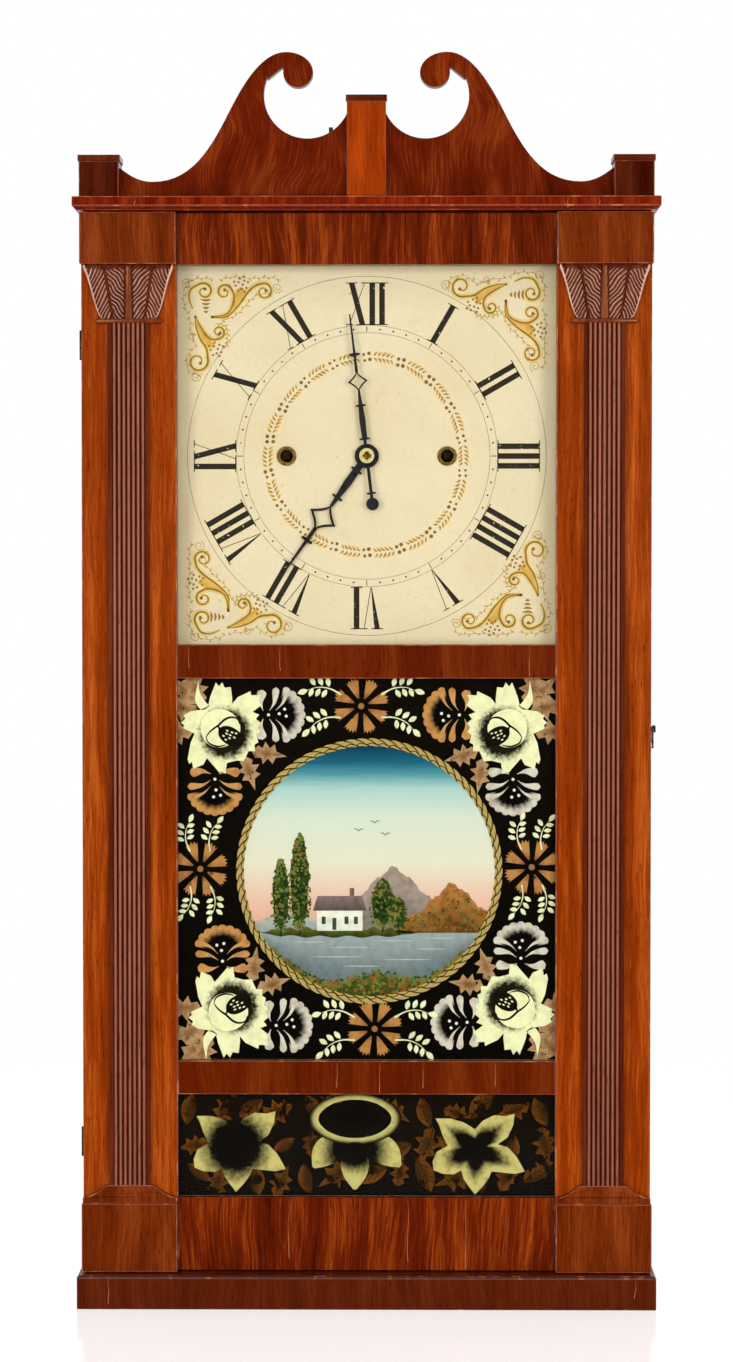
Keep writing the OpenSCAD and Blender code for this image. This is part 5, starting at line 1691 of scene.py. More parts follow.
@dataclass
class TabletPainting(PaintedGlass):
    """The large glass: stencilled flowers on black round a gilt ring, and a lake view inside the ring."""

    ring_r: float = 99.0
    ring_w: float = 5.6
    ring_at: Point = (2.0, -1.6)
    shore: float = -46.0
    rose_at: tuple[tuple[float, float, float, bool], ...] = (
        (-107.0, 104.0, 0.0, False), (103.0, 104.0, 0.0, True), (109.0, -103.5, 180.0, False),
        (-101.5, -106.0, 180.0, True))
    ring_twists: int = 73
    dab_seed: int = 5
    daisy_at: tuple[Point, ...] = ((-4.0, 121.5), (6.0, -119.5), (-124.0, 0.0), (123.0, 1.5))

    def roses(self) -> None:
        """Paints the four roses, each with a bud whose petals open towards the picture."""
        hook = fill_between(smooth([(-10.0, 17.6), (-15.6, 14.6), (-20.6, 22.0), (-18.2, 37.0)]),
                            smooth([(-10.0, 17.6), (-14.0, 22.0), (-17.2, 28.0), (-18.2, 37.0)]))
        petals = fade_from(join([fan_mark(ROSE_EDGE, 12), hook]), (1.6, -2.6), 36.0)
        bud = round_mark(lambda angle: 14.8 + 0.3 * cos(3 * angle), 40, 3, squeeze=0.97)
        bud = shift(bud, -2.0, 1.0)
        eye = round_mark(lambda angle: 9.4 + 0.8 * cos(2 * angle), 28, 2, squeeze=0.76)
        eye.data.transform(Matrix.Rotation(radians(32), 4, "Y"))
        lines = [shift(eye, 5.8, -5.0)]
        for path, width in (
                (((-12.5, -5.5), (-10, -2), (-6.5, 1), (-3.5, 3), (1.5, 7.5), (6.5, 9.2), (11, 7.8),
                  (12.5, 4)), 1.7),
                (((-3.5, 3.0), (-2.6, 0.6), (-1.6, -2.0)), 1.6),
                (((-12.5, -5.5), (-10.5, -10.0), (-4.0, -12.6), (2.5, -11.4)), 1.4)):
            lines.append(stroke(smooth(path), width, Taper.SWELL, steps=26))
        dashes = []
        for k in range(9):
            spread = 0.8 + 1.7 * sqrt(k)
            x, z = 4.6 + spread * cos(2.4 * k), -4.2 + 0.7 * spread * sin(2.4 * k)
            dashes.append(stroke([(x - 1.0, z + 0.5), (x + 1.0, z - 0.5)], 1.3, Taper.LEAF, steps=4))
        cream = "#E6E4BA"
        shaded = Paint("rose_cream_shaded", "#1C1A0E", cream, (0.42, 0.62), mottle=0.25)
        for master, word, layer, paint in (
                (petals, "petals", 5, shaded),
                (bud, "buds", 3, Paint("rose_bud_cream", cream, cream, mottle=0.25)),
                (join(lines), "lines", 2, Paint("rose_black_lines", "#15120C", "#15120C")),
                (join(dashes), "stamens", 1, Paint("rose_stamens_cream", cream, cream))):
            marks = [self.put(master, x, z, turn, mirrored=flip) for x, z, turn, flip in self.rose_at]
            scrap(master)
            self.lay(marks, f"tablet_rose_{word}", layer, paint)

    def shell(self) -> tuple[Piece, Piece, Piece]:
        """Draws a shell flower that opens to the right.

        Returns:
            Its fan, its curved petals and its dots.
        """
        def place(u: float, v: float) -> Point:
            """Sets a point of the fan."""
            angle = radians(78) * (1 - 2 * u)
            edge = 19.0 + 1.5 * abs(sin(9 * pi * u)) ** 0.7
            reach = 3 + (edge - 3) * v
            return 4 + reach * cos(angle), 1.06 * reach * sin(angle)

        fan = painted_grid(90, 8, place)
        drops = []
        for side in (-1, 1):
            for foot, bow, head, width in (((-7.0, 3.0), (-9.0, 10.0), (-7.4, 18.5), 9.0),
                                           ((-2.2, 3.4), (1.4, 9.5), (2.6, 20.4), 6.8),
                                           ((2.4, 3.4), (8.0, 9.5), (11.2, 19.6), 4.6)):
                path = smooth([(x, side * z) for x, z in (foot, bow, head)], 6)
                drops.append(stroke(path, width, Taper.DROP, steps=12, across=2))
        dots = [dot(x, z, 1.15) for x, z in ((-3.0, 0.0), (5.0, 0.8), (9.0, 4.2), (10.2, -1.0))]
        return fan, join(drops), join(dots)

    def shells(self) -> None:
        """Paints two shell flowers beside each rose, grey or tan."""
        fan, drops, dots = self.shell()
        fans: dict[bool, list[Piece]] = {False: [], True: []}
        petals: dict[bool, list[Piece]] = {False: [], True: []}
        spots = []
        for number, (x, z, _, _) in enumerate(self.rose_at):
            inward, across = (1 if x < 0 else -1), (-1 if z > 0 else 1)
            beside = (x + 37.0 * inward, z + 11.0 * -across, 0.0 if inward > 0 else 180.0)
            below = (x - 6.0 * inward, z + 40.0 * across, 90.0 * across)
            for k, place in enumerate((beside, below)):
                tan = (number + k) % 3 == 1 or (number == 3 and k == 1)
                fans[tan].append(self.put(fan, *place))
                petals[tan].append(self.put(drops, *place))
                spots.append(self.put(dots, *place))
        scrap(fan, drops, dots)
        tones = {False: ("grey", "#CFC6BA", "#D6CEC0"), True: ("tan", "#C08A50", "#C99C66")}
        for tan, (word, edge, petal) in tones.items():
            self.lay(fans[tan], f"tablet_shell_fans_{word}", 8,
                     Paint(f"shell_{word}_faded", "#0C0A08", edge, (0.5, 0.86), mottle=0.6))
            self.lay(petals[tan], f"tablet_shell_petals_{word}", 7,
                     Paint(f"shell_petal_{word}", petal, edge, along=True, mottle=0.6))
        self.lay(spots, "tablet_shell_dots", 6, Paint("shell_dots_white", "#E8E6DC", "#E8E6DC"))

    def daisies(self) -> None:
        """Paints the tan flowers in the middle of each side, with their jagged petals."""
        def petal_place(u: float, v: float) -> Point:
            """Sets a point of one petal."""
            tooth = 4.6 * abs((v * 4) % 1 - 0.5) - 3.0 * abs(v - 0.5)
            return 5.8 + u * (13.4 + tooth), (v - 0.5) * (0.8 + 9.0 * u**0.9)

        petal = painted_grid(8, 16, petal_place)
        eye = round_mark(lambda angle: 2.3, 14, 1)
        petals = [self.put(petal, x, z, 45 * k + 20) for x, z in self.daisy_at for k in range(8)]
        eyes = [self.put(eye, x, z) for x, z in self.daisy_at]
        scrap(petal, eye)
        tan = Paint("daisy_tan", "#8A5A30", "#B57E4A", (0.0, 0.5), along=True, mottle=0.55, loss=0.05,
                    ground="#241408")
        self.lay(petals, "tablet_daisy_petals", 6, tan)
        self.lay(eyes, "tablet_daisy_eyes", 5, Paint("daisy_eye", "#9A6C44", "#9A6C44"))

    def sprigs(self) -> None:
        """Paints the cream leaf sprigs beside each daisy."""
        parts = [stroke(smooth([(0, 0), (10, 2.6), (20, 1.2), (27, -3.0)], 5), 1.5, Taper.TAIL, steps=12)]
        leaf = stroke([(0.8, 0), (8.6, 0)], 4.3, Taper.LEAF, steps=8, across=2)
        for k in range(3):
            x, z = 10.5 + 5.6 * k, 2.6 - 0.42 * k * k
            parts.append(stamp(leaf, x, z + 0.9, 62 - 9 * k, 0.95))
            parts.append(stamp(leaf, x + 1.5, z - 0.9, -72 - 4 * k, 0.9))
        parts.append(stamp(leaf, 26.5, -2.6, -32, 1.05))
        sprig = join(parts)
        marks = []
        for x, z in self.daisy_at:
            upright = abs(x) > abs(z)
            for side in (-1, 1):
                for lift in (-1, 1):
                    if upright:
                        place = (x + 7.5 * lift, z + 13 * side, side * (90 - 8 * lift), 0.8)
                    else:
                        place = (x + 15 * side, z + 8.5 * lift, 14 * lift * side, 0.92, side < 0)
                    marks.append(self.put(sprig, *place))
        scrap(leaf, sprig)
        self.lay(marks, "tablet_sprigs", 5, Paint("sprig_cream", "#DFE0B8", "#E6E8C2", mottle=0.45))

    def back_leaves(self) -> None:
        """Paints the jagged leaves that point to the ring and the tan leaves behind the roses."""
        leaf = fan_mark(LEAF_EDGE, 4, (12.0, 0.0))
        marks = []
        for x, z, _, _ in self.rose_at:
            inward, across = (1 if x < 0 else -1), (-1 if z > 0 else 1)
            heading = degrees(atan2(-z, -x))
            for swing, reach in ((-30, 36.0), (34, 37.0)):
                a = radians(heading + 0.45 * swing)
                marks.append(self.put(leaf, x + reach * cos(a), z + reach * sin(a),
                                      heading + swing, 0.92))
            for dx, dz, turn in ((-20, -30, 110), (-30, -16, 160), (-27, -28, 135), (-34, 2, 185)):
                swing = turn if across < 0 else -turn
                marks.append(self.put(leaf, x + dx * inward, z + dz * across,
                                      swing if inward > 0 else 180 - swing, 1.05))
        scrap(leaf)
        tan = Paint("leaf_tan_faded", "#8A6040", "#B08C66", (0.1, 0.9), mottle=0.7, loss=0.05,
                    ground="#2C1C10")
        self.lay(marks, "tablet_back_leaves", 9, tan)

    def disc_half(self, z: float) -> float:
        """Gives half the width of the picture at a height from its middle."""
        reach = self.ring_r - self.ring_w / 2
        return sqrt(max(reach**2 - z**2, 0.0))

    def band(self, low: Callable[[float], float], high: Callable[[float], float], left: float,
             right: float, steps: int = 60) -> Piece:
        """Paints a band of the picture between two lines, kept inside the ring.

        Args:
            low: the lower line's height at an X from the middle.
            high: the upper line's height.
            left: where the band starts.
            right: where it ends.
            steps: faces along it.

        Returns:
            The mark.
        """
        def place(u: float, v: float) -> Point:
            """Sets a point of the band."""
            x = left + (right - left) * u
            z = low(x) + (high(x) - low(x)) * v
            reach = self.disc_half(x)
            return self.ring_at[0] + x, self.centre_z + self.ring_at[1] + min(max(z, -reach), reach)

        return painted_grid(steps, 4, place)

    def picture(self) -> None:
        """Paints a lake view of the maker's own: hills to the right, a cottage by poplars, near bushes."""
        x0, z0 = self.ring_at[0], self.centre_z + self.ring_at[1]
        reach = self.ring_r - self.ring_w / 2
        sky = shift(round_mark(lambda angle: reach, 96, 6), x0, z0)
        stops = ((0.02, "#D69C8A"), (0.2, "#DEB8A8"), (0.38, "#DAD4C2"), (0.62, "#CCD4C8"), (0.77, "#A6C6C6"),
                 (0.85, "#4A8E9E"), (0.91, "#1C5E78"), (1.0, "#0E3450"))
        shore, edge = self.shore, reach - 0.5
        self.lay([sky], "tablet_sky", 7, SkyWash("sky_oil_wash", z0 + shore, z0 + reach, stops))
        far = self.band(lambda x: shore, lambda x: self.ridge(x, 18, 46), -14, edge)
        self.lay([far], "tablet_far_hills", 6,
                 Paint("hill_mauve_haze", "#7E7672", "#A08E86", (0.2, 0.9), mottle=0.5))
        hills = self.band(lambda x: shore, lambda x: self.ridge(x, 62, 34), 20, edge)
        self.lay([hills], "tablet_hills", 5,
                 Paint("hill_ochre", "#6E4A20", "#A8703A", (0.1, 0.9), mottle=0.9))
        haze = self.band(lambda x: shore, lambda x: shore + 9 + 6 * cos(0.07 * (x + 60)), -edge, -10)
        self.lay([haze], "tablet_haze", 6, Paint("hill_blue_haze", "#8C9CA0", "#B2AEA8", mottle=0.4))
        lake = self.band(lambda x: -self.disc_half(x), lambda x: shore, -self.disc_half(shore),
                         self.disc_half(shore))
        self.lay([lake], "tablet_lake", 6, Paint("lake_slate", "#66747A", "#94A0A2", (0.2, 1.0), mottle=0.3))
        bank = self.band(lambda x: shore - self.shelf(x) * (3 - 0.8 * sin(0.3 * x)),
                         lambda x: shore + self.shelf(x) * (3.4 + 1.4 * sin(0.5 * x)), -82, 36, 60)
        near = self.band(lambda x: -self.disc_half(x), self.near_bank, -78, 78, 60)
        self.lay([bank, near], "tablet_banks", 5, Paint("bank_green", "#34401A", "#5C5C26", mottle=0.8))
        self.cottage(x0 - 20, z0 + shore + 1.5)
        self.foliage(x0, z0)

    def ridge(self, x: float, peak: float, high: float) -> float:
        """Gives the height of a hill from the picture's middle.

        Args:
            x: where along the picture.
            peak: where the hill is highest.
            high: how high it is there.

        Returns:
            The height of its ridge.
        """
        slope = exp(-abs((x - peak) / (0.75 * high)) ** 1.5)
        return self.shore + 3 + high * slope + 1.2 * sin(0.45 * x) + 0.7 * sin(1.3 * x)

    def near_bank(self, x: float) -> float:
        """Gives the height of the near bank along the foot of the picture."""
        return -self.disc_half(x) + (13 + 6 * sin(0.075 * x + 1.2)) * max(0.0, 1 - (x / 78) ** 2)

    def shelf(self, x: float) -> float:
        """Gives the far bank's thickness as a share, which runs out at both its ends."""
        return max(0.0, 1 - ((x + 23) / 59) ** 4)

    def cottage(self, x: float, z: float) -> None:
        """Paints a small gabled cottage on the far bank.

        Args:
            x: where it stands to the right.
            z: the height of its foot.
        """
        wall = [stroke([(x - 19, z + 7.5), (x + 15, z + 7.5)], 15.0, steps=2)]
        roof = [painted_grid(2, 1, lambda u, v: (x - 22 + 40 * u + (3.4 - 6.8 * u) * v, z + 15 + 11 * v)),
                stroke([(x + 7, z + 23), (x + 7, z + 32)], 3.4, steps=2)]
        dark = [stroke([(x + dx, z + low), (x + dx, z + top)], 3.0, steps=2)
                for dx, low, top in ((-14.0, 5, 10.6), (-6.0, 0.6, 9.6), (3.0, 5, 10.6), (10.0, 5, 10.6))]
        self.lay(wall, "tablet_cottage_walls", 4, Paint("cottage_whitewash", "#DADCD2", "#E6E4D8"))
        self.lay(roof, "tablet_cottage_roof", 4, Paint("cottage_roof", "#5E5250", "#7C6C68", mottle=0.5))
        self.lay(dark, "tablet_cottage_windows", 3, Paint("cottage_windows", "#3A4A44", "#3A4A44"))

    def foliage(self, x0: float, z0: float) -> None:
        """Dabs the trees by the cottage, the scrub on the hills and the bushes along the near bank.

        Args:
            x0: the picture's middle to the right.
            z0: its middle up.
        """
        rng = random.Random(self.dab_seed)
        dab = round_mark(lambda angle: 1.4 + 0.4 * cos(3 * angle), 7, 1, squeeze=0.7)
        tones: dict[str, list[Piece]] = {"green": [], "olive": [], "rust": []}
        crowns = [(-52, -8, 8.0, 36), (-66, -18, 7.0, 27), (10, -24, 9.5, 18), (22, -32, 7.0, 12)]

        def put(x: float, z: float, olive: float, rust: float, small: float, large: float) -> None:
            """Dabs one leaf, in a tone and size that are drawn by lot."""
            draw = rng.random()
            tone = "rust" if draw < rust else "olive" if draw < rust + olive else "green"
            tones[tone].append(stamp(dab, x0 + x, z0 + z, rng.uniform(0, 360), rng.uniform(small, large)))

        masses = []
        for x, z, wide, tall in crowns:
            mass = round_mark(lambda angle: tall * (1 + 0.06 * sin(7 * angle)), 30, 2)
            mass.data.transform(Matrix.Diagonal((0.85 * wide / tall, 1, 0.94, 1)))
            masses.append(shift(mass, x0 + x, z0 + z))
            for _ in range(int(1.3 * wide * tall)):
                high = rng.uniform(-1, 1)
                half = wide * sqrt(1 - high**2) * (1 - 0.3 * high)
                off = rng.uniform(-half, half)
                put(x + off, z + high * tall, 0.2 + 0.3 * (off < 0), 0.03, 0.5, 1.1)
        for _ in range(420):
            x = rng.uniform(26, 88)
            top = min(self.ridge(x, 62, 34), self.disc_half(x)) - 2
            put(x, self.shore + 2 + (top - self.shore - 2) * rng.random() ** 1.4, 0.3, 0.5, 0.4, 0.9)
        for _ in range(620):
            x = rng.uniform(-74, 74)
            low = -self.disc_half(x) + 1.5
            put(x, low + (self.near_bank(x) + 3 - low) * rng.random() ** 0.7, 0.4, 0.14, 0.6, 1.3)
        scrap(dab)
        trunks = [stroke([(x0 + x, z0 + z - tall - 4), (x0 + x + 0.5, z0 + z)], 1.4, Taper.TAIL, steps=4)
                  for x, z, _, tall in crowns]
        self.lay(trunks + masses, "tablet_tree_masses", 4,
                 Paint("tree_mass_dark", "#1C2814", "#263418", mottle=0.6))
        for layer, tone, inner, outer in ((3, "green", "#26421A", "#3A5424"),
                                          (2, "olive", "#5C6628", "#7C7C38"),
                                          (1, "rust", "#7E4A1E", "#9A642E")):
            self.lay(tones[tone], f"tablet_foliage_{tone}", layer,
                     Paint(f"foliage_{tone}", inner, outer, mottle=0.7))
        strokes = [stroke([(x0 + x, z0 + z), (x0 + x + run, z0 + z)], 0.9, Taper.LEAF, steps=8)
                   for x, z, run in ((-58, -53, 26), (-30, -57, 34), (6, -52, 30), (34, -58, 24),
                                     (-44, -64, 40), (10, -66, 36), (-20, -71, 28), (38, -50, 30))]
        self.lay(strokes, "tablet_lake_ripples", 4, Paint("ripple_pale", "#A8B0B0", "#B8BCB8", mottle=0.3))
        wings = ((-3.4, 1.6), (-1.4, 1.4), (0.0, 0.0), (1.6, 1.6), (3.6, 1.2))
        birds = [stroke(smooth([(x0 + x + dx, z0 + z + dz) for dx, dz in wings], 4), 0.6, steps=14)
                 for x, z in ((-8, 30), (4, 36), (12, 27))]
        self.lay(birds, "tablet_birds", 4, Paint("bird_grey", "#4A5054", "#4A5054"))

    def gilt_ring(self) -> None:
        """Paints the twisted gilt ring round the picture."""
        x0, z0 = self.ring_at[0], self.centre_z + self.ring_at[1]

        def place(u: float, v: float) -> Point:
            """Sets a point of the ring, whose edges wave with the rope."""
            reach = self.ring_r - self.ring_w * (1 - v) + 0.25 * sin(TURN * self.ring_twists * u)
            return x0 + reach * sin(TURN * u), z0 + reach * cos(TURN * u)

        self.lay([painted_grid(8 * self.ring_twists, 4, place)], "tablet_gilt_ring", 1,
                 RopeGilt("ring_bronze_powder", "#B39A5C", "#241A0A", self.ring_twists))

    def build(self) -> None:
        """Paints the whole glass, the parts nearest the pane last."""
        self.ground("tablet_ground", 10, Paint("tablet_black", "#0B0907", "#100C08", mottle=0.2))
        self.back_leaves()
        self.shells()
        self.daisies()
        self.sprigs()
        self.roses()
        self.picture()
        self.gilt_ring()


@dataclass
class LowerPainting(PaintedGlass):
    """The low glass: two open flowers, an oval with three petals, and faint leaves, all on black."""

    star_at: tuple[Point, ...] = ((-98.0, -1.4), (80.6, -3.0))
    oval_at: Point = (-8.7, 19.0)
    oval: tuple[float, float] = (31.6, 17.6)
    petal_w: float = 21.0
    leaf_seed: int = 23

    def stars(self) -> None:
        """Paints the two open flowers."""
        stars = [fade_from(fan_mark(STAR_EDGE, 10), (0.0, 0.0), 36.0), fan_mark(STAR_EDGE, 10)]
        marks = [self.put(star, x, z) for star, (x, z) in zip(stars, self.star_at)]
        scrap(*stars)
        self.lay(marks, "lower_stars", 2, self.petal_paint("star_cream_faded", (0.46, 0.86)))

    def oval_and_petals(self) -> None:
        """Paints the oval with its glow, black painted shade in its middle for the dark case behind it, and
        the three petals that hang below it.
        """
        x, z = self.oval_at
        wide, squeeze = self.oval[0], self.oval[1] / self.oval[0]
        glow = round_mark(lambda angle: wide * 1.1, 64, 3, 0.86, squeeze)
        rim = round_mark(lambda angle: wide, 64, 4, 0.84, squeeze * 0.98)
        # Painted shade: the oval's middle is black, standing in for the dark case seen through the window
        middle = round_mark(lambda angle: wide * 0.865, 48, 2, 0, squeeze * 0.86)
        petals = []
        for tip, bow in (((x - 31.0, -17.5), (x - 18.0, -3.0)), ((x + 34.0, -16.5), (x + 19.0, -3.0))):
            path = smooth([(x - 0.1 * (x - tip[0]), 0.0), bow, tip], 6)
            petals.append(stroke(path, self.petal_w, Taper.LEAF, steps=18, across=8))
        drop = stroke([(x, 4.0), (x, -34.0)], self.petal_w, Taper.LEAF, steps=18, across=8)
        for mark in (*petals, drop):
            fade_from(mark, (x, -5.0), 36.0)
        for mark, name, layer, paint in (
                (glow, "lower_oval_glow", 3, Paint("oval_glow", "#8A8450", "#0C0906", (0.1, 0.9))),
                (rim, "lower_oval", 2, Paint("oval_cream", "#C8BE80", "#A89C60", mottle=0.4)),
                (middle, "lower_oval_window_painted_shade", 1, Paint("oval_window_painted_shade", "#080605", "#0E0A06"))):
            self.lay([self.put(mark, x, z)], name, layer, paint)
        self.lay([self.put(mark, 0, 0) for mark in petals], "lower_side_petals", 4,
                 self.petal_paint("side_petals_faded", (0.42, 0.84)))
        self.lay([self.put(drop, 0, 0)], "lower_middle_petal", 3,
                 self.petal_paint("middle_petal_faded", (0.28, 0.58)))
        scrap(glow, rim, middle, drop, *petals)

    def petal_paint(self, name: str, fade: Point) -> Paint:
        """Gives the paint of the pale petals, which is stippled out to black at the root."""
        return Paint(name, "#080604", "#C4B874", fade, mottle=0.6)

    def leaves(self) -> None:
        """Paints the faint brown leaves over the ground, with their midribs."""
        rng = random.Random(self.leaf_seed)
        leaf = stroke(smooth([(-11, 0), (0, 1.2), (13, 0)]), 11.0, Taper.LEAF, steps=24,
                      jag=lambda u: 1 + 0.1 * (14 * u % 1))
        lobed = shift(fan_mark(LEAF_EDGE, 4, (12.0, 0.0)), -1.0, 0.0)
        veins = [stroke(smooth([(-13, 0), (0, 1.2), (11, 0.2)]), 0.7, Taper.TAIL, steps=8)]
        veins += [stroke([(3.6 * k - 6, 0.8), (3.6 * k - 1.8, 0.8 + side * 4.0)], 0.45, steps=2)
                  for k in range(4) for side in (-1, 1)]
        rib = join(veins)
        leaves, ribs = [], []
        columns, rows = 13, 3
        for i in range(columns):
            for j in range(rows):
                place = (self.half_w * (2 * (i + 0.5) / columns - 1) + rng.uniform(-4, 4),
                         self.half_h * (2 * (j + 0.5) / rows - 1) + rng.uniform(-5, 5),
                         rng.uniform(0, 360), rng.uniform(0.8, 1.2))
                leaves.append(self.put(lobed if (i + j) % 2 else leaf, *place))
                ribs.append(self.put(rib, *place))
        scrap(leaf, lobed, rib)
        brown = Paint("leaf_brown_faint", "#3E240A", "#653A10", (0.1, 0.9), mottle=0.9, loss=0.16,
                      ground="#120A04", chip_mm=9.0)
        self.lay(leaves, "lower_leaves", 6, brown)
        self.lay(ribs, "lower_leaf_ribs", 5, Paint("leaf_rib_dark", "#1A0E04", "#1A0E04"))

    def build(self) -> None:
        """Paints the whole glass."""
        self.ground("lower_ground", 7, Paint("lower_black", "#0A0705", "#120C06", mottle=0.3))
        self.leaves()
        self.stars()
        self.oval_and_petals()


@dataclass
class WeightCords:
    """The two weight cords: three strands twisted, hanging from the pulley and led across to the drum."""

    radius: float = 0.9
    lay_mm: float = 7.0
    strands: int = 3
    steps_a_turn: int = 7
    drum_at: Point = (60.0, 0.0)
    drum_r: float = 15.2
    pulley_r: float = 8.4
    bend_steps: int = 12

    def rope(self, route: Sequence[Vector]) -> Piece:
        """Twists the strands along a route.

        Args:
            route: points in millimetres, in a plane of constant Y.

        Returns:
            The rope as one mesh.
        """
        path = even_points([(p.x, p.z) for p in route], self.turns(route) * self.steps_a_turn)
        data = bpy.data.curves.new("rope", "CURVE")
        data.dimensions = "3D"
        data.bevel_depth = 0.5 * self.radius * MM
        data.bevel_resolution = 1
        data.use_fill_caps = True
        off = 0.5 * self.radius
        for strand in range(self.strands):
            line = data.splines.new("POLY")
            line.points.add(len(path) - 1)
            for i, (x, z) in enumerate(path):
                ahead, behind = path[min(i + 1, len(path) - 1)], path[max(i - 1, 0)]
                length = dist(ahead, behind)
                way = ((ahead[0] - behind[0]) / length, (ahead[1] - behind[1]) / length)
                angle = TURN * (i / self.steps_a_turn + strand / self.strands)
                side, deep = off * cos(angle), off * sin(angle)
                line.points[i].co = ((x - way[1] * side) * MM, (route[0].y + deep) * MM,
                                     (z + way[0] * side) * MM, 1)
        make_active(link_up("rope", data))
        bpy.ops.object.convert(target="MESH")
        return bpy.context.active_object

    def turns(self, route: Sequence[Vector]) -> int:
        """Gives the whole turns of twist along a route."""
        return max(2, round(sum((b - a).length for a, b in zip(route, route[1:])) / self.lay_mm))

    def led_over(self, hang_x: float, top: float, y: float) -> list[Vector]:
        """Gives the route from the drum over the right pulley, as the source lays it.

        Args:
            hang_x: where the cord hangs to the right.
            top: the height of the pulley's middle.
            y: the depth of the cord.

        Returns:
            Points along the route.
        """
        drum = Vector((self.drum_at[0], dial_centre() + self.drum_at[1]))
        pulley = Vector((hang_x - self.pulley_r, top))
        apart = pulley - drum
        lift = atan2(apart.y, apart.x) + acos((self.drum_r - self.pulley_r) / apart.length)
        points = [drum + self.drum_r * Vector((cos(lift), sin(lift)))]
        angles = [lift * (1 - i / self.bend_steps) for i in range(self.bend_steps + 1)]
        points += [pulley + self.pulley_r * Vector((cos(a), sin(a))) for a in angles]
        return [Vector((p.x, y, p.y)) for p in points]

    def build(self) -> None:
        """Makes the hanging cords and the runs to the drums."""
        flax = Cordage("waxed_flax_cord", "#B89A6C", "#7A6040").build()
        runs = []
        for side, word in ((1, "time"), (-1, "strike")):
            low, high = box_mm(f"{word}_cord")
            x, y = (low.x + high.x) / 2, (low.y + high.y) / 2
            rope = self.rope([Vector((x, y, low.z)), Vector((x, y, high.z))])
            add_piece(rope, f"{word}_cord_twisted", Body.CASE, flax, [f"{word}_cord"])
            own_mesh(rope)
            route = self.led_over(abs(x), high.z, y)
            runs.append(self.rope([Vector((side * p.x, p.y, p.z)) for p in route]))
        add_piece(join(runs), "cord_runs_twisted", Body.CASE, flax, ["cord_runs"])


@dataclass
class Movement:
    """The works and the metal fittings: which finish each node has."""

    turned: tuple[float, float, float] = (1, 0.3, 0.12)

    def finishes(self) -> tuple[tuple[Finish, tuple[str, ...]], ...]:
        """Groups the nodes by finish.

        Returns:
            Each finish with the nodes that have it.
        """
        return (
            (PlainWood("cherry_wheels_oiled", "#A8703C", "#7C4A22", 5.0, self.turned, 0.5),
             ("hour_wheel", "motion_wheel", "time_great_wheel", "second_wheel", "third_wheel",
              "strike_great_wheel", "strike_second_wheel", "time_pulley", "strike_pulley")),
            # Painted shade: the drums are near black and dull, so that the winding holes in the dial look
            # dark
            (PlainWood("drum_wood_painted_shade_dark", "#24160A", "#120A04", 5.0, self.turned, 0.7, 0.05),
             ("time_drum", "strike_drum")),
            (PlainWood("oak_plates_quartered", "#A98A58", "#7E6038", 6.0),
             ("movement_plates", "plate_pillars", "movement_rails", "glazing_strips")),
            (PlainWood("pine_boards_aged", "#A9824E", "#7C5A32", 12.0), ("back_board", "pulley_brackets")),
            (Metal("brass_tarnished", "#B8904A", "#5E4622", 5.0, (0.25, 0.5)),
             ("escape_wheel", "pendulum_bob", "winding_grommets", "suspension_cock")),
            (Metal("brass_polished", "#EADCA0", "#A88C44", 3.0, (0.4, 0.6), 0.3), ("minute_arbor",)),
            (Metal("hinge_brass_browned", "#5C4426", "#2C2214", 4.0, (0.4, 0.6)),
             ("hinge_case_leaves", "hinge_door_leaves")),
            (Metal("iron_wire_dark", "#4A4642", "#2A2522", 4.0, (0.4, 0.65)),
             ("verge", "hammer", "pendulum_rod", "door_hook", "hook_screw", "catch_pin", "crest_stay",
              "fly")),
            (Metal("bell_iron_bronzed", "#7A5C34", "#40301C", 8.0, (0.35, 0.55)), ("bell",)),
            (Metal("iron_weights_cast", "#4C4A48", "#2E2A28", 6.0, (0.5, 0.75)),
             ("time_weight", "strike_weight")),
            (ClearGlass("window_glass_old"), ("dial_glass", "tablet_glass", "lower_glass")),
        )

    def build(self) -> None:
        """Dresses every node of the works, the fittings and the panes."""
        for finish, nodes in self.finishes():
            material = finish.build()
            for node in nodes:
                dress(node, material)


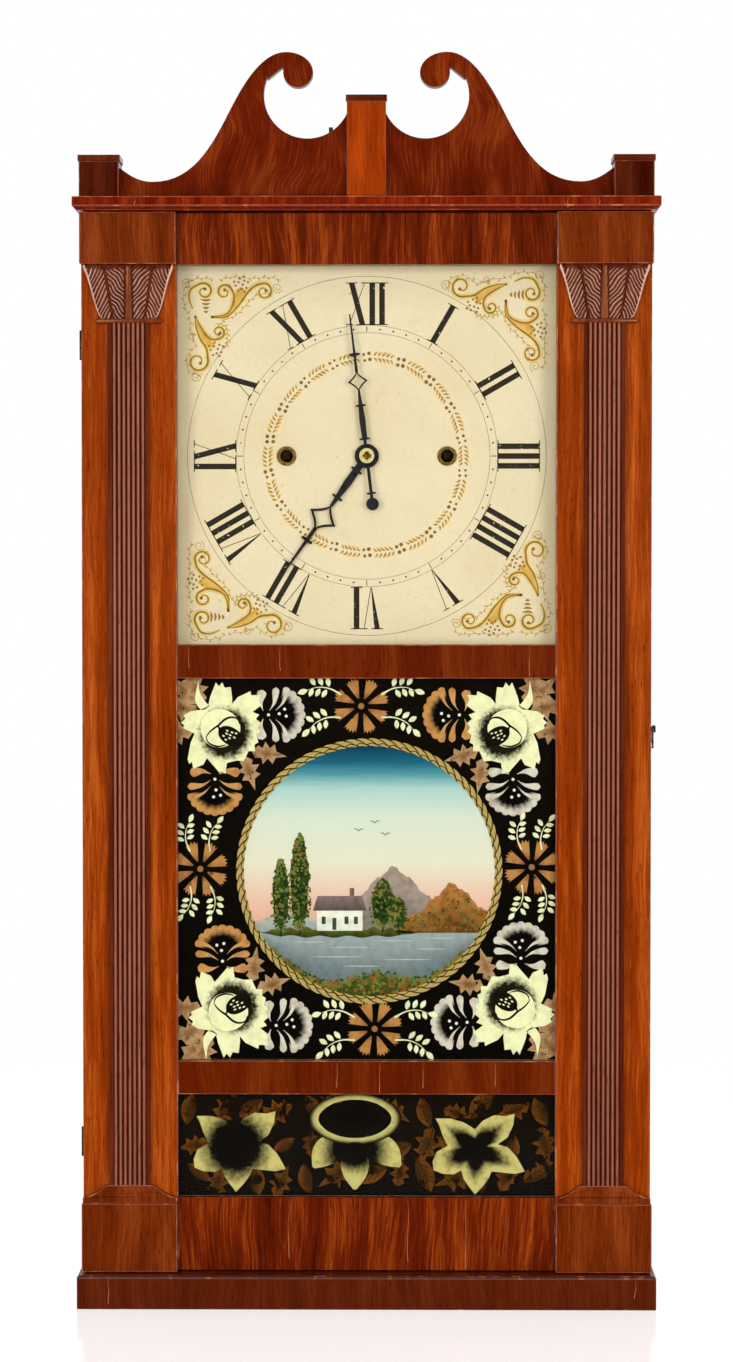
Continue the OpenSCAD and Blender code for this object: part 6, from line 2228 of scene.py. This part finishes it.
@dataclass
class Studio:
    """The floor, the lights and the camera, which stands where the photograph was taken."""

    camera_at: tuple[float, float, float] = (0.0255, -2.5, 0.540)
    aim_at: tuple[float, float, float] = (-0.0005, 0.0, 0.4637)
    focal_px: float = 3308.0
    frame_px: tuple[int, int] = (733, 1362)
    floor_r: float = 1.6
    dome_r: float = 5.6
    dome_lift: float = 0.4
    dome_rise: float = 0.46
    floor_glow: float = 0.52
    fade_near: float = 0.35
    fade_far: float = 1.3
    even_light: float = 0.33
    lamp_aim: tuple[float, float, float] = (0.0, 0.0, 0.46)

    def camera(self) -> None:
        """Sets the camera up."""
        data = bpy.data.cameras.new("camera")
        data.lens = data.sensor_width * self.focal_px / max(self.frame_px)
        camera = link_up("camera", data)
        camera.location = self.camera_at
        sight = Vector(self.aim_at) - Vector(self.camera_at)
        camera.rotation_euler = sight.to_track_quat("-Z", "Y").to_euler()
        bpy.context.scene.camera = camera

    def lamp(self, name: str, place: Vector, aim: Vector, size: tuple[float, float], watts: float,
             mirrored: bool = True) -> None:
        """Adds a soft box.

        Args:
            name: the lamp's name.
            place: where it stands.
            aim: what it faces.
            size: its width and height in metres.
            watts: its power.
            mirrored: whether glossy surfaces show it.
        """
        data = bpy.data.lights.new(name, "AREA")
        data.shape = "RECTANGLE"
        data.size, data.size_y = size
        data.energy = watts
        lamp = link_up(name, data)
        lamp.location = place
        lamp.rotation_euler = (aim - place).to_track_quat("-Z", "Y").to_euler()
        lamp.visible_camera = False
        lamp.visible_glossy = mirrored

    def world(self) -> None:
        """Gives a white background to the eye and to reflections, and a soft even light."""
        world = bpy.data.worlds.new("studio")
        bpy.context.scene.world = world
        world.use_nodes = True
        world.node_tree.nodes.clear()
        add = partial(add_node, world.node_tree)
        path = add("ShaderNodeLightPath").outputs
        seen = path["Is Camera Ray"]
        for ray in ("Is Glossy Ray", "Is Transmission Ray"):
            seen = add("ShaderNodeMath", {"operation": "MAXIMUM", 0: seen, 1: path[ray]})
        even, white = [add("ShaderNodeBackground", {"Color": "#FFFFFF", "Strength": strength})
                       for strength in (self.even_light, 1.0)]
        both = add("ShaderNodeMixShader", {0: seen, 1: even, 2: white})
        add("ShaderNodeOutputWorld", {"Surface": both})

    def floor_finish(self) -> Material:
        """Makes the floor: glossy white acrylic that keeps the shadow and fades into the white background.

        Returns:
            The material.
        """
        material, add = new_material("floor_white_acrylic")
        here = add("ShaderNodeTexCoord").outputs["Object"]
        flat = add("ShaderNodeVectorMath", {"operation": "MULTIPLY", 0: here, 1: (1, 1, 0)})
        away = add("ShaderNodeVectorMath", {"operation": "LENGTH", 0: flat})
        fade = add("ShaderNodeMapRange", {
            "interpolation_type": "SMOOTHSTEP", 0: away, 1: self.fade_near, 2: self.fade_far, 3: 1.0, 4: 0.0})
        seen = add("ShaderNodeLightPath").outputs["Is Camera Ray"]
        glow = add("ShaderNodeMath", {"operation": "MULTIPLY", 0: seen, 1: self.floor_glow})
        shader = add("ShaderNodeBsdfPrincipled", {
            "Base Color": "#F4ECEA", "Roughness": 0.12, "Specular IOR Level": 0.35,
            "Emission Color": "#FFFFFF", "Emission Strength": glow})
        both = add("ShaderNodeMixShader", {0: fade, 1: add("ShaderNodeBsdfTransparent"), 2: shader})
        add("ShaderNodeOutputMaterial", {"Surface": both})
        return material

    def dome(self) -> Piece:
        """Makes the half dome of black cloth before the clock, which only reflections meet.

        Returns:
            The dome.
        """
        dome = start_grid(24, 12)
        dome.name = "black_dome"
        for vertex in dome.data.vertices:
            side, lift = pi * vertex.co.x, self.dome_rise * pi * 2 * vertex.co.y
            vertex.co = (self.dome_r * sin(side) * cos(lift),
                         -self.dome_r * cos(side) * cos(lift),
                         self.dome_r * sin(lift) + self.dome_lift)
        material, add = new_material("dome_black_cloth")
        cloth = add("ShaderNodeBsdfPrincipled", {"Base Color": "#101010", "Roughness": 1.0})
        add("ShaderNodeOutputMaterial", {"Surface": cloth})
        dome.data.materials.append(material)
        dome.visible_camera = dome.visible_diffuse = dome.visible_shadow = dome.visible_transmission = False
        return dome

    def build(self) -> None:
        """Builds the floor, the dome, the lamps, the world and the camera."""
        floor = start_piece(bpy.ops.mesh.primitive_circle_add, vertices=96, radius=self.floor_r,
                            fill_type="NGON")
        floor.name = "floor"
        floor.data.materials.append(self.floor_finish())
        self.dome()
        aim = Vector(self.lamp_aim)
        self.lamp("soft_box_left", Vector((-1.25, -2.7, 0.62)), aim, (0.9, 1.5), 34)
        self.lamp("soft_box_right", Vector((1.25, -2.7, 0.62)), aim, (0.9, 1.5), 34)
        self.lamp("soft_box_top", Vector((0, -2.0, 2.5)), aim, (1.8, 0.9), 8)
        self.lamp("fill_by_camera", Vector((0, -3.0, 0.8)), aim, (1.0, 1.0), 24, mirrored=False)
        self.world()
        self.camera()
        bpy.context.scene.view_settings.view_transform = "Standard"


def main() -> None:
    """Builds every sub-assembly in order."""
    logging.basicConfig(level=logging.INFO, format="%(name)s: %(message)s")
    for part in (Studio(), Woodwork(), Carving(), Movement(), DialPainting(), Hands(),
                 TabletPainting("tablet_glass"), LowerPainting("lower_glass"), WeightCords()):
        LOG.info("building %s", type(part).__name__)
        part.build()


if __name__ == "__main__":
    main()
